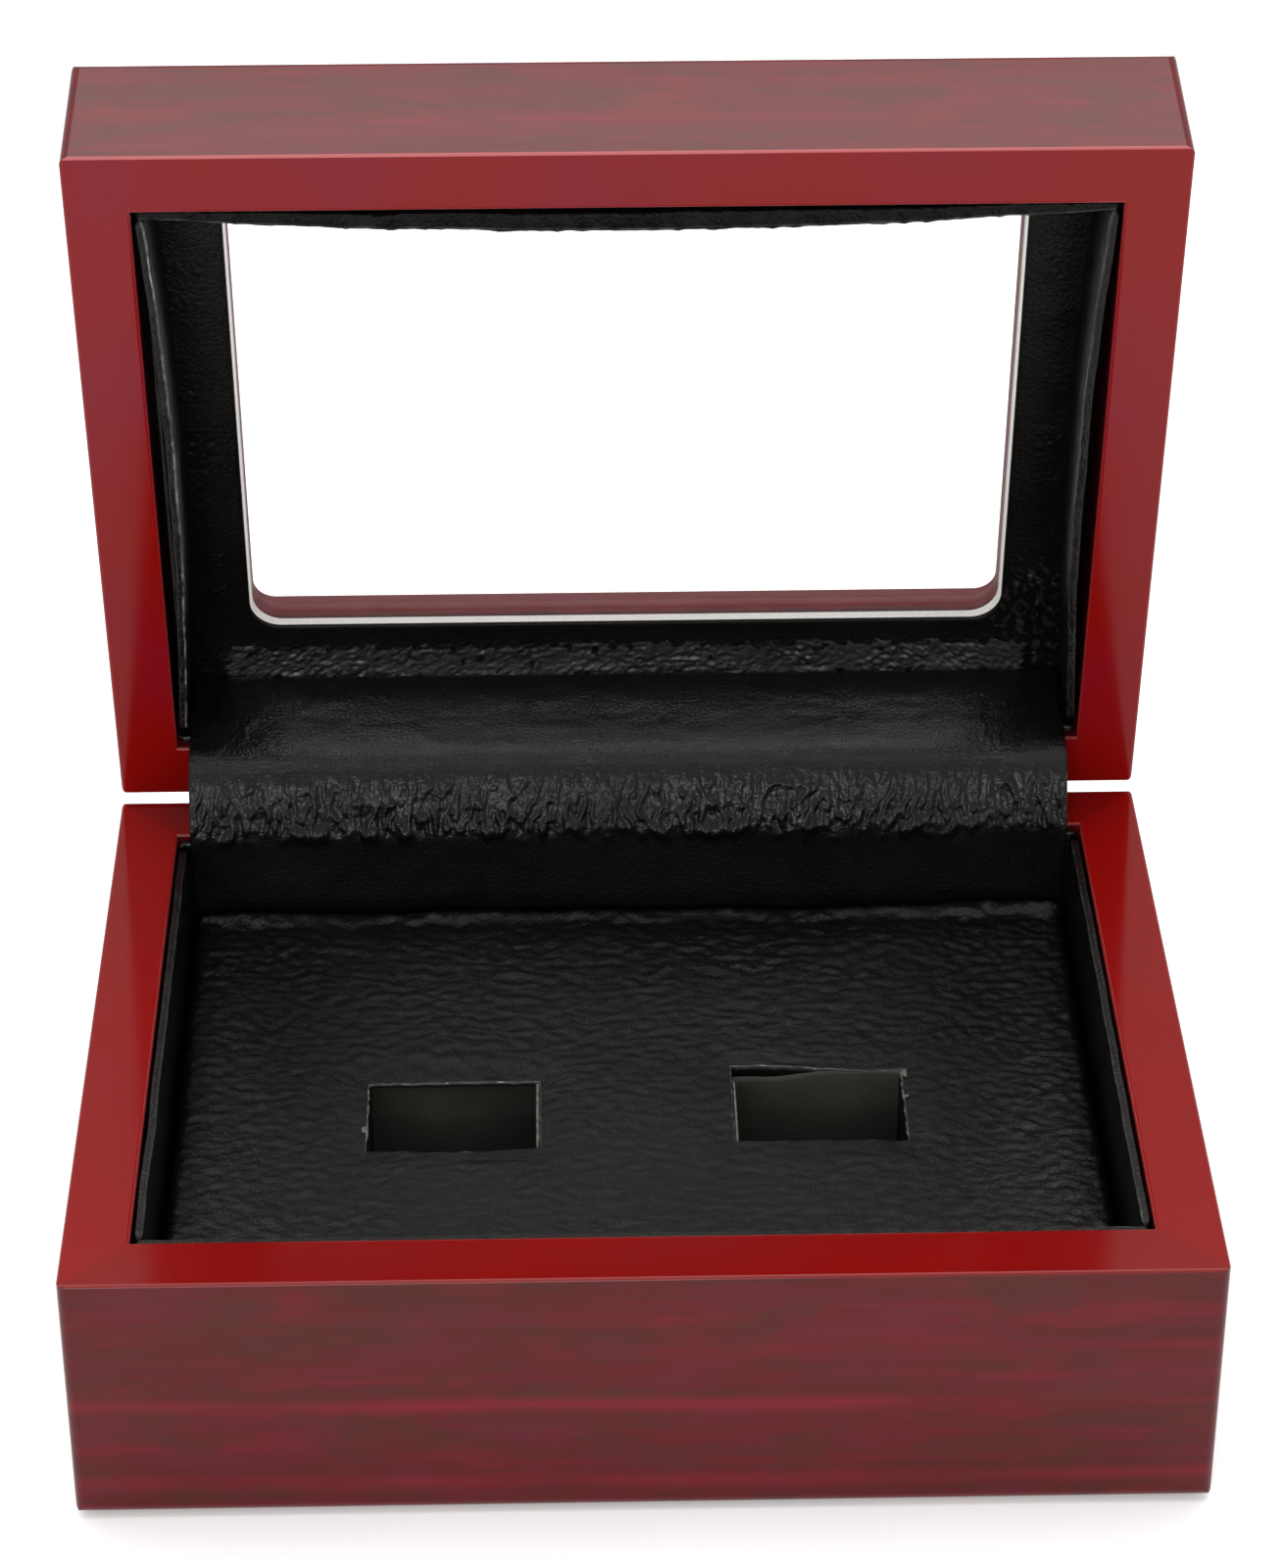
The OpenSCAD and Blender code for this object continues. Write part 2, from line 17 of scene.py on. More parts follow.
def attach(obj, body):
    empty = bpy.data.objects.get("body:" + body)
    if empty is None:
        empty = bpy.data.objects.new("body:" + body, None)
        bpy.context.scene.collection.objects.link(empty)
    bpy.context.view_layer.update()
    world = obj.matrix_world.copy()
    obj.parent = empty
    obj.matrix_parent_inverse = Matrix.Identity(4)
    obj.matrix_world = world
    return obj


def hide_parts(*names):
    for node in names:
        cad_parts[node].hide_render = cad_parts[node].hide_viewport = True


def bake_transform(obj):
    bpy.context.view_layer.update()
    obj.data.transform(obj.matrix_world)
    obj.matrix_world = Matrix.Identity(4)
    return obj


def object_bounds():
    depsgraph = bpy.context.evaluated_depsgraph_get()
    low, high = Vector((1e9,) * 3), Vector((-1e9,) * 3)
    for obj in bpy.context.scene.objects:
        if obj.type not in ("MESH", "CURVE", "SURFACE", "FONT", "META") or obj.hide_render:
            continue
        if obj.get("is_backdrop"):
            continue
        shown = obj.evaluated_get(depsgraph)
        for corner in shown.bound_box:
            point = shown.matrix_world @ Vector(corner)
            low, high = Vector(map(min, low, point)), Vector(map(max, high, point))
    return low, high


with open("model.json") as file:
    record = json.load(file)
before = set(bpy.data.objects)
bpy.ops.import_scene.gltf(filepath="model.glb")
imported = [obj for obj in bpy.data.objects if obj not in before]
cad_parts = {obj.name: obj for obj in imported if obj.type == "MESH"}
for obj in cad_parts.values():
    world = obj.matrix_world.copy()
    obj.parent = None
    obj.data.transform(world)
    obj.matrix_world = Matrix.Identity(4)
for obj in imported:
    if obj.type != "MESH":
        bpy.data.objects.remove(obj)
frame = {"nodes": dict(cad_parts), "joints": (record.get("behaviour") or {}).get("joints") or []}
scene = bpy.context.scene
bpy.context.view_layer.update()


def put(name, data):
    """A new object in the scene."""
    made = bpy.data.objects.new(name, data)
    scene.collection.objects.link(made)
    return made


# %% [markdown]
# ## Working sizes
# Everything below is worked out in millimetres, and it turns into metres only when a mesh is made. The frame
# says where each node is. A lid node stands tilted in the frame, which is awkward to model in, so lid pieces
# are made as if the lid were shut, and one matrix then turns them about the hinge.

# %% Units and the lid's turn
MM = 0.001
hinge = frame["joints"][0]
hinge_point = Vector(hinge["pos_m"]) / MM
lid_open = math.radians(-hinge["range_deg"][0])
lid_turn = (
    Matrix.Translation(hinge_point)
    @ Matrix.Rotation(-lid_open, 4, "X")
    @ Matrix.Translation(-hinge_point)
)
opening_turn = np.array(lid_turn)
shutting_turn = np.array(lid_turn.inverted())


def turned(points, matrix):
    """Points in millimetres, moved by one of the two matrices."""
    return points @ matrix[:3, :3].T + matrix[:3, 3]


def node_points(node, shut=False):
    """A node's points in millimetres, for a lid node with the lid shut."""
    points = np.array([v.co for v in frame["nodes"][node].data.vertices]) / MM
    return turned(points, shutting_turn) if shut else points


def node_box(node, shut=False):
    """A node's lowest and highest corner in millimetres, for a lid node with the lid shut."""
    points = node_points(node, shut)
    return points.min(0), points.max(0)


print("lid opened by", round(math.degrees(lid_open), 1), "degrees about", tuple(hinge_point))

# %% [markdown]
# ## The camera
# The photograph was taken from a little left of the middle, about 0.7 m away and 33 degrees above the table.
# The place and the lens were solved from the box's own corners, so the picture frames it the same way. The
# lens is worked out for the longer side of the 1310 x 1600 frame.

# %% Set the camera
camera_place = Vector((-10.506, -529.818, 426.747))
camera_elevation = math.radians(32.956)
camera_yaw = math.radians(1.2377)
camera_roll = math.radians(-0.0435)
focal_pixels = 4534.4
frame_long_side = 1600
sensor = 36.0

forward = Vector((
    math.sin(camera_yaw) * math.cos(camera_elevation),
    math.cos(camera_yaw) * math.cos(camera_elevation),
    -math.sin(camera_elevation),
))
level_right = Vector((math.cos(camera_yaw), -math.sin(camera_yaw), 0))
level_up = level_right.cross(forward)
right = level_right * math.cos(camera_roll) + level_up * math.sin(camera_roll)
up = right.cross(forward)

camera_data = bpy.data.cameras.new("camera")
camera_data.sensor_width = sensor
camera_data.lens = focal_pixels / frame_long_side * sensor
camera_data.clip_start = 0.01
camera_data.clip_end = 50
camera = put("camera", camera_data)
axes = Matrix((right, up, -forward)).transposed()
camera.matrix_world = Matrix.Translation(camera_place * MM) @ axes.to_4x4()
scene.camera = camera
print("lens, mm:", round(camera_data.lens, 2))

# %% [markdown]
# ## Small tools for materials
# Each finish is a little tree of nodes. A helper class keeps the trees short: it makes a material with its
# main shader, adds nodes and sets their sockets by name. Patterns are laid out in object space, which is the
# frame's own space and turns with the lid.

# %% Material helpers
class Finish:
    """A material that is being put together, with its main shader."""

    def __init__(self, name, color=(0.5, 0.5, 0.5), **sockets):
        self.material = bpy.data.materials.new(name)
        self.material.use_nodes = True
        self.tree = self.material.node_tree
        self.shader = self.tree.nodes["Principled BSDF"]
        self.shader.inputs["Base Color"].default_value = (*color, 1)
        for socket, value in sockets.items():
            self.set(socket, value)

    def set(self, socket, value):
        """Gives a socket of the shader a value or another node's output."""
        self.plug(self.shader.inputs[socket.replace("_", " ")], value)

    def plug(self, socket, value):
        """Gives any socket a value or another node's output."""
        if isinstance(value, bpy.types.NodeSocket):
            self.tree.links.new(value, socket)
        else:
            socket.default_value = value

    def add(self, kind, settings=None, **sockets):
        """A new node. settings are its own properties, and a socket is named, or numbered as in i0."""
        node = self.tree.nodes.new("ShaderNode" + kind)
        for key, value in (settings or {}).items():
            setattr(node, key, value)
        for key, value in sockets.items():
            index = int(key[1:]) if key[0] == "i" and key[1:].isdigit() else key.replace("_", " ")
            self.plug(node.inputs[index], value)
        return node

    def place(self, scale=(1, 1, 1), turn=(0, 0, 0), shift=(0, 0, 0)):
        """Object coordinates, turned and then stretched."""
        start = self.add("TexCoord").outputs["Object"]
        if any(turn) or any(shift):
            inverse = {"vector_type": "TEXTURE"}
            start = self.add("Mapping", inverse, Vector=start, Location=shift, Rotation=turn).outputs[0]
        return self.add("Mapping", Vector=start, Scale=scale).outputs[0]

    def height(self, vector):
        """The third coordinate of a vector."""
        return self.add("SeparateXYZ", Vector=vector).outputs["Z"]

    def noise(self, vector, scale=1.0, detail=3.0, roughness=0.5):
        """Noise from 0 to 1, with scale lumps to a metre."""
        node = self.add("TexNoise", Vector=vector, Scale=scale, Detail=detail, Roughness=roughness)
        return node.outputs["Fac"]

    def ramp(self, value, *stops):
        """A colour ramp from (position, colour) stops. A single number stands for a grey."""
        node = self.add("ValToRGB", Fac=value)
        elements = node.color_ramp.elements
        while len(elements) < len(stops):
            elements.new(0.5)
        for element, (position, color) in zip(elements, stops):
            element.position = position
            element.color = (*color, 1) if isinstance(color, tuple) else (color, color, color, 1)
        return node.outputs["Color"]

    def spread(self, value, at_low, at_high, low=0.3, high=0.7):
        """Maps the values from low to high, by default a noise's middle ones, onto another range."""
        return self.add("MapRange", Value=value, i1=low, i2=high, i3=at_low, i4=at_high).outputs[0]

    def math(self, operation, first, second):
        """Two values, combined."""
        return self.add("Math", {"operation": operation}, i0=first, i1=second).outputs[0]

    def blend(self, first, share, second):
        """The sum of two patterns, where share is how much of it is the first."""
        first = self.math("MULTIPLY", first, share)
        return self.math("ADD", first, self.math("MULTIPLY", second, 1 - share))

    def mix(self, factor, first, second):
        """A colour between two."""
        node = self.add("Mix", {"data_type": "RGBA"})
        for index, value in ((0, factor), (6, first), (7, second)):
            self.plug(node.inputs[index], (*value, 1) if isinstance(value, tuple) else value)
        return node.outputs[2]

    def bump(self, height, strength, distance):
        """A surface roughened by a height pattern. distance is in metres."""
        node = self.add("Bump", Height=height, Strength=strength, Distance=distance)
        return node.outputs["Normal"]


def dress(node, material):
    """Gives a CAD node its finish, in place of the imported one."""
    mesh = frame["nodes"][node].data
    mesh.materials.clear()
    mesh.materials.append(material)


# %% [markdown]
# ## Floor and light
# The photograph has a white sweep and soft light from all round, which a bright world gives. A softbox high
# at the back puts the grey veil on the lid's upper face, one above whitens the floor, and a small low one in
# front makes the leatherette's crumples glint. The lacquer of the front rim shows a deep red, because
# something dark stood behind the lid. A black flag hangs there, and only mirror rays see it, so it throws no
# shadow. The studio's sizes are in metres.

# %% Build the studio
def stage_plane(name, size, place, facing, finish):
    """A flat rectangle of the studio, which isn't part of the object."""
    x, y = size[0] / 2, size[1] / 2
    mesh = bpy.data.meshes.new(name)
    mesh.from_pydata([(-x, -y, 0), (x, -y, 0), (x, y, 0), (-x, y, 0)], [], [(0, 1, 2, 3)])
    plane = put(name, mesh)
    turn = Vector(facing).to_track_quat("Z", "Y").to_matrix().to_4x4()
    plane.matrix_world = Matrix.Translation(place) @ turn
    mesh.materials.append(finish.material)
    plane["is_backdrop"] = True
    return plane


glowing_white = Finish(
    "floor_white", (0.93, 0.93, 0.93), Roughness=0.7, Specular_IOR_Level=0.2, Emission_Strength=0.22
)
flag_black = Finish("flag_black", (0.003, 0.003, 0.003), Roughness=1.0, Specular_IOR_Level=0.2)
stage_plane("floor", size=(6, 6), place=(0, 0, 0), facing=(0, 0, 1), finish=glowing_white)
flag = stage_plane(
    "flag", size=(0.17, 0.055), place=(0.0, 0.21, 0.252), facing=(0, -1, -0.75), finish=flag_black
)
for ray in ("camera", "diffuse", "volume_scatter", "shadow"):
    setattr(flag, "visible_" + ray, False)

world = bpy.data.worlds.new("studio")
world.use_nodes = True
sky = world.node_tree.nodes["Background"]
sky.inputs["Color"].default_value = (1.0, 0.99, 0.98, 1)
sky.inputs["Strength"].default_value = 0.75
scene.world = world


def softbox(name, size, place, aim, watts):
    """An area light, aimed at a point."""
    light = bpy.data.lights.new(name, "AREA")
    light.shape = "RECTANGLE"
    light.size, light.size_y = size
    light.energy = watts
    lamp = put(name, light)
    lamp.location = place
    lamp.rotation_euler = (Vector(aim) - Vector(place)).to_track_quat("-Z", "Y").to_euler()


softbox("softbox_above", size=(1.2, 0.9), place=(0.0, 0.1, 1.3), aim=(0, 0, 0), watts=9)
softbox("softbox_back", size=(2.2, 0.9), place=(0.0, 1.2, 1.72), aim=(0, 0, 0.1), watts=14)
softbox("softbox_front", size=(0.7, 0.45), place=(-0.25, -1.6, 0.5), aim=(0, 0, 0.08), watts=8)
scene.view_settings.view_transform = "Standard"
scene.view_settings.look = "None"

# %% [markdown]
# ## Lacquered rosewood
# The outer faces are veneered in a dark red wood whose grain runs along each rail, in fine lines, broad
# bands and short brown, crimson and purple patches. The rims and the inner edges are plain red lacquer with
# no figure. Both lie under the same clear coat. The rounded corners of the rims get a painted pink highlight.
# The figure comes from noise that is stretched along the rail, and the mask comes from the surface's own
# normal, so one material serves a whole wall.

# %% The wood's finish
figure_tones = (
    (0.34, (0.062, 0.004, 0.003)), (0.46, (0.078, 0.003, 0.004)),
    (0.54, (0.089, 0.002, 0.006)), (0.66, (0.108, 0.002, 0.008)),
)
brown, purple, crimson = (0.056, 0.008, 0.005), (0.094, 0.004, 0.017), (0.12, 0.003, 0.005)
streak_crimson = (0.17, 0.003, 0.012)
# A painted highlight: the pink that the rims' rounded corners get
arris_highlight_pink = (0.42, 0.11, 0.11)


def lacquered_wood(name, along, rim_normal=(0, 0, 0), tilt=0.0, seed=0.0, streaks=(), arris=0.12,
                   rim_red=0.19, red=1.0):
    """along is the grain's axis, X or Y, and rim_normal is the direction that the wall's rim faces.

    tilt turns the pattern with the lid. streaks are the heights of crimson lines in metres, and arris says
    how strong the painted highlight on the rim's rounded corners is. rim_red and red are the strength of the
    red on the rim and on the figured face.
    """
    coat = {"Coat_Weight": 1.0, "Coat_Roughness": 0.11, "Coat_IOR": 1.3}
    wood = Finish(name, Roughness=0.4, Specular_IOR_Level=0.0, **coat)
    turn = (tilt, 0, 0)

    def grain(length, width, detail, shift):
        """Noise whose lumps are length by width, in metres."""
        stretch = [1 / width] * 3
        stretch["XY".index(along)] = 1 / length
        return wood.noise(wood.place(stretch, turn, (0, 0, shift + seed)), 1.0, detail, 0.55)

    def redder(color):
        """A tone of the figure with the wall's own strength of red."""
        return (color[0] * red, *color[1:])

    bands = grain(0.075, 0.0042, 2, 0.0)
    lines = grain(0.032, 0.0011, 3, 0.31)
    patches = grain(0.014, 0.0045, 4, 0.47)
    hues = grain(0.02, 0.006, 4, 0.71)
    figured = wood.ramp(wood.blend(bands, 0.62, lines), *((at, redder(tone)) for at, tone in figure_tones))
    for field, stops, tone in (
        (patches, ((0.48, 0.0), (0.64, 0.75)), brown),
        (hues, ((0.52, 0.0), (0.68, 0.6)), purple),
        (hues, ((0.32, 0.6), (0.45, 0.0)), crimson),
    ):
        figured = wood.mix(wood.ramp(field, *stops), figured, redder(tone))
    for height in streaks:
        # Each line wanders by up to 2 mm, is about 2 mm wide and comes and goes
        warp = wood.math("MULTIPLY", wood.noise(wood.place((9, 9, 9)), 1.0, 2), 0.004)
        blotches = wood.noise(wood.place((24, 24, 24), shift=(height * 9, 0, 0)), 1.0, 2)
        strength = wood.ramp(blotches, (0.38, 0.2), (0.6, 0.75))
        level = wood.math("ADD", wood.height(wood.place()), warp)
        off = wood.math("ABSOLUTE", wood.math("SUBTRACT", level, height + 0.002), 0.5)
        near = wood.ramp(wood.math("MULTIPLY", off, 520.0), (0.05, 1.0), (0.95, 0.0))
        figured = wood.mix(wood.math("MULTIPLY", near, strength), figured, streak_crimson)
    clouds = wood.ramp(wood.noise(wood.place(turn=turn), 30, 2), (0.4, 0.0), (0.68, 1.0))
    rim_clouds = (rim_red * 0.93, 0.004, 0.011 if tilt else 0.004)
    plain = wood.mix(clouds, (rim_red, 0.0025, 0.0015), rim_clouds)
    normal = wood.add("TexCoord").outputs["Normal"]
    facing = wood.add("VectorMath", {"operation": "DOT_PRODUCT"}, i0=normal, i1=rim_normal)
    facing = facing.outputs["Value"]
    on_rim = wood.ramp(facing, (0.35, 0.0), (0.8, 1.0))
    # The painted highlight: pink on the rounded corners between the rims and the faces
    arris_highlight_mask = wood.ramp(facing, (0.1, 0.0), (0.35, arris), (0.85, arris), (0.97, 0.0))
    wood.set("Base Color", wood.mix(arris_highlight_mask, wood.mix(on_rim, figured, plain), arris_highlight_pink))
    pores = wood.math("MULTIPLY", lines, wood.math("SUBTRACT", 1.0, on_rim))
    wood.set("Normal", wood.bump(pores, 0.12, 0.0002))
    waves = wood.noise(wood.place(turn=turn), 60, 1)
    wood.set("Coat Normal", wood.bump(waves, 0.05, 0.0004))
    return wood.material


walls = (("front", "X"), ("back", "X"), ("left", "Y"), ("right", "Y"))
wall_habits = {
    "base_front": {"streaks": (0.0201, 0.0062)},
    "base_left": {"rim_red": 0.215},
    "base_right": {"rim_red": 0.215},
    # The lid's front rim gets the full painted highlight on its rounded corner
    "lid_front": {"arris": 1.0, "red": 1.25},
}
lid_rim_normal = (0, -math.sin(lid_open), -math.cos(lid_open))
for part, rim_normal, tilt, part_seed in (
    ("base", (0, 0, 1), 0.0, 0.0), ("lid", lid_rim_normal, -lid_open, 0.071),
):
    for number, (side, along) in enumerate(walls, 1):
        seed = 0.137 * number + part_seed
        habits = wall_habits.get(f"{part}_{side}", {})
        veneer = lacquered_wood(f"{part}_{side}_rosewood", along, rim_normal, tilt, seed, **habits)
        dress(f"{part}_{side}_wall", veneer)
dress("lid_top_panel", lacquered_wood("lid_panel_rosewood", "X", tilt=-lid_open, seed=0.53))
dress("base_floor", lacquered_wood("base_floor_rosewood", "X", seed=0.61))

# %% [markdown]
# The window was sawn out of the panel, and its jamb is dull. Its colour is painted light and shade by depth:
# a lit dusty pink near the outer face, dark red in painted shade below that, and nearly black beside the
# pane. So the panel gets a second finish on the jamb's faces. The depth is measured from the panel's inner
# face, in coordinates that turn with the lid.

# %% The window's jamb
jamb = Finish("window_jamb", (0.1, 0.03, 0.03), Roughness=0.65, Specular_IOR_Level=0.12)
panel_low, panel_high = node_box("lid_top_panel", shut=True)
lift = (Matrix.Rotation(lid_open, 3, "X") @ hinge_point - hinge_point).z
inner_face = (panel_low[2] + lift) * MM
jamb_space = jamb.place(turn=(-lid_open, 0, 0))
depth = jamb.math("SUBTRACT", jamb.height(jamb_space), inner_face)
scaled_depth = jamb.math("MULTIPLY", depth, 120.0)
light_and_shade_depth = jamb.math("ADD", scaled_depth, jamb.math("MULTIPLY", jamb.noise(jamb_space, 160, 3), 0.25))
# Painted light and shade: pink near the outer face where light reaches in, darker towards the pane
jamb.set("Base Color", jamb.ramp(
    light_and_shade_depth, (0.36, (0.018, 0.0003, 0.001)), (0.5, (0.09, 0.001, 0.004)),
    (0.64, (0.12, 0.02, 0.025)), (0.85, (0.14, 0.045, 0.048)),
))
jamb.set("Normal", jamb.bump(jamb.noise(jamb_space, 900, 3), 0.3, 0.0002))
panel_mesh = frame["nodes"]["lid_top_panel"].data
panel_mesh.materials.append(jamb.material)
inside_edge = 5
jamb_faces = 0
for polygon in panel_mesh.polygons:
    centre = turned(np.array(polygon.center) / MM, shutting_turn)[:2]
    upward = (shutting_turn[:3, :3] @ np.array(polygon.normal))[2]
    within = np.all(centre > panel_low[:2] + inside_edge) and np.all(centre < panel_high[:2] - inside_edge)
    polygon.material_index = int(bool(abs(upward) < 0.3 and within))
    jamb_faces += polygon.material_index
print("wood dressed,", jamb_faces, "faces in the window's jamb")

# %% [markdown]
# ## Leatherette
# All the black trim is the same thin leatherette, a plastic film with a pressed grain. It is nearly black,
# and what one sees of it is its soft shine. The grain is a bump of small cells, and the larger wrinkles will
# be real shapes in the meshes. Along some edges pale specks are painted into the colour, as a painted
# highlight where the film turns the edge.

# %% The leatherette's finish
film_black = (0.0018, 0.0018, 0.0015)


def leatherette(name, roughness, strength, shine, grain=0.0011):
    """grain is the size of a pressed cell in metres, and strength says how deep the cells look."""
    skin = Finish(name, film_black, Roughness=roughness, Specular_IOR_Level=shine)
    place = skin.place()
    to_edge = {"feature": "DISTANCE_TO_EDGE"}
    cells = skin.add("TexVoronoi", to_edge, Vector=place, Scale=1 / grain, Randomness=0.9)
    cells = skin.ramp(cells.outputs["Distance"], (0.0, 0.0), (0.22, 1.0))
    swell = skin.noise(place, 0.45 / grain, 3, 0.6)
    height = skin.math("ADD", skin.math("MULTIPLY", cells, 0.45), skin.math("MULTIPLY", swell, 0.9))
    skin.set("Normal", skin.bump(height, strength, 0.0002))
    worn = skin.noise(place, 90, 3)
    skin.set("Roughness", skin.spread(worn, roughness - 0.06, roughness + 0.08))
    return skin.material


def edge_tone_and_highlight(name, roughness, scale, *stops, noise_roughness=0.6):
    """An edge whose colour varies in specks. It gives cut board its pale edge, and film edges a painted
    highlight.
    """
    edge = Finish(name, Roughness=roughness)
    specks = edge.noise(edge.place(), scale, 3, noise_roughness)
    edge.set("Base Color", edge.ramp(specks, *stops))
    return edge.material


# %% Card, pane, metal, felt and board
def speckled(name, dark, light, size, rough, bump, stretch=(1, 1, 1), **sockets):
    """A finish whose colour, roughness and surface vary in specks of about size metres."""
    finish = Finish(name, light, **sockets)
    specks = finish.noise(finish.place(stretch), 1 / size, 3, 0.6)
    finish.set("Base Color", finish.ramp(specks, (0.35, dark), (0.65, light)))
    finish.set("Roughness", finish.spread(specks, rough[1], rough[0]))
    finish.set("Normal", finish.bump(specks, bump, size / 4))
    return finish.material


pane = Finish("clear_pane", (1, 1, 1), Roughness=0.0, IOR=1.45, Transmission_Weight=1.0)
pane.set("Roughness", pane.spread(pane.noise(pane.place(), 55, 4, 0.6), 0.0, 0.012, 0.6, 0.8))

# Brass is drawn and steel is turned, so their scratches run along the box
brushed = {"stretch": (1, 14, 14), "Metallic": 1.0}
steel_tones = (0.5, 0.5, 0.52), (0.64, 0.64, 0.66)
steel_rough = (0.26, 0.42)
small_finishes = {
    "window_pane": pane.material,
    "liner_card": speckled("white_card", (0.84, 0.81, 0.78), (0.92, 0.9, 0.87), 0.0006, (0.75, 0.9), 0.2),
    "leaf": speckled("brass", (0.62, 0.42, 0.16), (0.76, 0.54, 0.23), 0.002, (0.24, 0.4), 0.15, **brushed),
    "pin_": speckled("steel", *steel_tones, 0.002, steel_rough, 0.15, **brushed),
    "screws": speckled("screw_steel", *steel_tones, 0.0008, steel_rough, 0.15, Metallic=1.0),
    "felt": speckled("felt", (0.008, 0.008, 0.009), (0.03, 0.03, 0.033), 0.0005, (0.9, 1.0), 0.8),
    "insert_board": speckled(
        "grey_board", (0.22, 0.205, 0.18), (0.34, 0.32, 0.285), 0.0012, (0.85, 0.95), 0.3
    ),
}
for node in frame["nodes"]:
    for word, finish in small_finishes.items():
        if word in node:
            dress(node, finish)

# %% [markdown]
# ## Tools for soft pieces
# A soft piece starts as a grid of points, because a grid can be bent along any line and its surface can then
# be pushed in and out along its own normals. The pushes come from gradient noise: smooth random hills whose
# size is chosen in millimetres. Stretching the noise one way turns hills into wrinkles. Every noise has a
# seed, so the same wrinkles come out each time.

# %% Noise and grid helpers
lattice = 64


def hills(x, y, seed):
    """Gradient noise from about -1 to 1, with one hill or hollow to each unit of x and y."""
    angles = np.random.default_rng(seed).uniform(0, 2 * np.pi, (lattice, lattice))
    cell_x, cell_y = np.floor(x).astype(int), np.floor(y).astype(int)
    part_x, part_y = x - cell_x, y - cell_y
    ease_x = part_x**3 * (part_x * (6 * part_x - 15) + 10)
    ease_y = part_y**3 * (part_y * (6 * part_y - 15) + 10)

    def slope(step_x, step_y):
        angle = angles[(cell_x + step_x) % lattice, (cell_y + step_y) % lattice]
        return np.cos(angle) * (part_x - step_x) + np.sin(angle) * (part_y - step_y)

    near = slope(0, 0) + ease_x * (slope(1, 0) - slope(0, 0))
    far = slope(0, 1) + ease_x * (slope(1, 1) - slope(0, 1))
    return 1.5 * (near + ease_y * (far - near))


def ripples(along, seed, row=0.0):
    """The same noise along a line. row picks the line."""
    return hills(along, np.full_like(along, row), seed)


def creases(x, y, seed):
    """Thin raised lines that wander like folds: 1 on a line, falling to 0 beside it."""
    return np.clip(1 - 4.5 * np.abs(hills(x, y, seed)), 0, 1) ** 1.3


def fade(value, start, end):
    """0 at start, 1 at end, smooth between."""
    t = np.clip((value - start) / (end - start), 0, 1)
    return t * t * (3 - 2 * t)


def bell(value, middle, width):
    """1 at the middle, falling to 0 on both sides."""
    return np.exp(-((value - middle) / width) ** 2)


def even(start, end, step):
    """Even steps from start to end, each of about the given size."""
    return np.linspace(start, end, max(2, round((end - start) / step)) + 1)


def grid_normals(points):
    """Unit normals of a grid of points, from the directions of its rows and columns."""
    normal = np.cross(np.gradient(points, axis=1), np.gradient(points, axis=0))
    return normal / np.maximum(np.linalg.norm(normal, axis=2, keepdims=True), 1e-9)


def grid_faces(rows, columns, around=False, over=False):
    """Quads of a grid whose points are numbered row by row.

    around joins the last column to the first, and over joins the last row to the first.
    """
    counts = rows if over else rows - 1, columns if around else columns - 1
    row, column = np.meshgrid(*map(np.arange, counts), indexing="ij")
    here, next_row = row * columns, (row + 1) % rows * columns
    next_column = (column + 1) % columns
    quads = here + column, here + next_column, next_row + next_column, next_row + column
    return np.stack(quads, axis=2).reshape(-1, 4)


def tube_faces(rings, size):
    """Faces of a stack of rings, closed at both ends."""
    caps = [list(range(size))[::-1], list(range((rings - 1) * size, rings * size))]
    return grid_faces(rings, size, around=True).tolist() + caps


def grid_loop(columns, first_column, last_column, first_row, last_row):
    """Numbers of the grid points round a rectangle, anticlockwise seen from above."""
    return np.concatenate([
        first_row * columns + np.arange(first_column, last_column),
        np.arange(first_row, last_row) * columns + last_column,
        last_row * columns + np.arange(last_column, first_column, -1),
        np.arange(last_row, first_row, -1) * columns + first_column,
    ])


def make_piece(name, points, faces, body, nodes, materials, paint=None, in_lid=False):
    """A mesh from millimetre points, riding on a body in the place of CAD nodes.

    paint says which material each face has.
    """
    points = np.asarray(points, float).reshape(-1, 3)
    if in_lid:
        points = turned(points, opening_turn)
    # Points that no face uses, such as those inside an opening, are left out
    used = np.zeros(len(points), bool)
    used[[v for face in faces for v in face]] = True
    number = np.cumsum(used) - 1
    faces = [[int(number[v]) for v in face] for face in faces]
    mesh = bpy.data.meshes.new(name)
    mesh.from_pydata((points[used] * MM).tolist(), [], faces)
    mesh.validate()
    mesh.shade_smooth()
    for material in materials:
        mesh.materials.append(material)
    if paint is not None:
        mesh.polygons.foreach_set("material_index", np.array(paint, np.int32))
    made = put(name, mesh)
    if body:
        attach(made, body)
    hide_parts(*nodes)
    print(name, "has", len(mesh.vertices), "points")
    return made


# %% [markdown]
# ## The cushion
# The insert is a foam block in a leatherette cover that was stretched over it and glued underneath. It has a
# low crown, rolled edges and sides that draw in a little. The cover shrank into wrinkles, which lie across
# the box and are strongest at the back and the sides. One could sculpt or simulate them, but the wrinkles
# are pressed into the film rather than hanging folds, so a dense grid pushed by stretched noise is closer.
# The grid's lines run along the edges of the two slots, so the openings are cut simply by leaving faces out.

# %% The cushion's plan
cover_low, cover_high = node_box("insert_cover")
tray_boxes = [node_box("ring_slot_lining_left"), node_box("ring_slot_lining_right")]
cushion_mid = (cover_low + cover_high) / 2
end_room = 0.1
half = (cover_high - cover_low)[:2] / 2 - (0, end_room)
half_x, half_y = half
crown_rise = 1.4
cushion_edge_z = cover_high[2] - crown_rise
roll = 1.8
cover_lap = 0.6
grid_step = 0.42
print("cushion, mm:", (2 * half_x).round(1), (2 * half_y).round(1), "edges at z", cushion_edge_z.round(1))


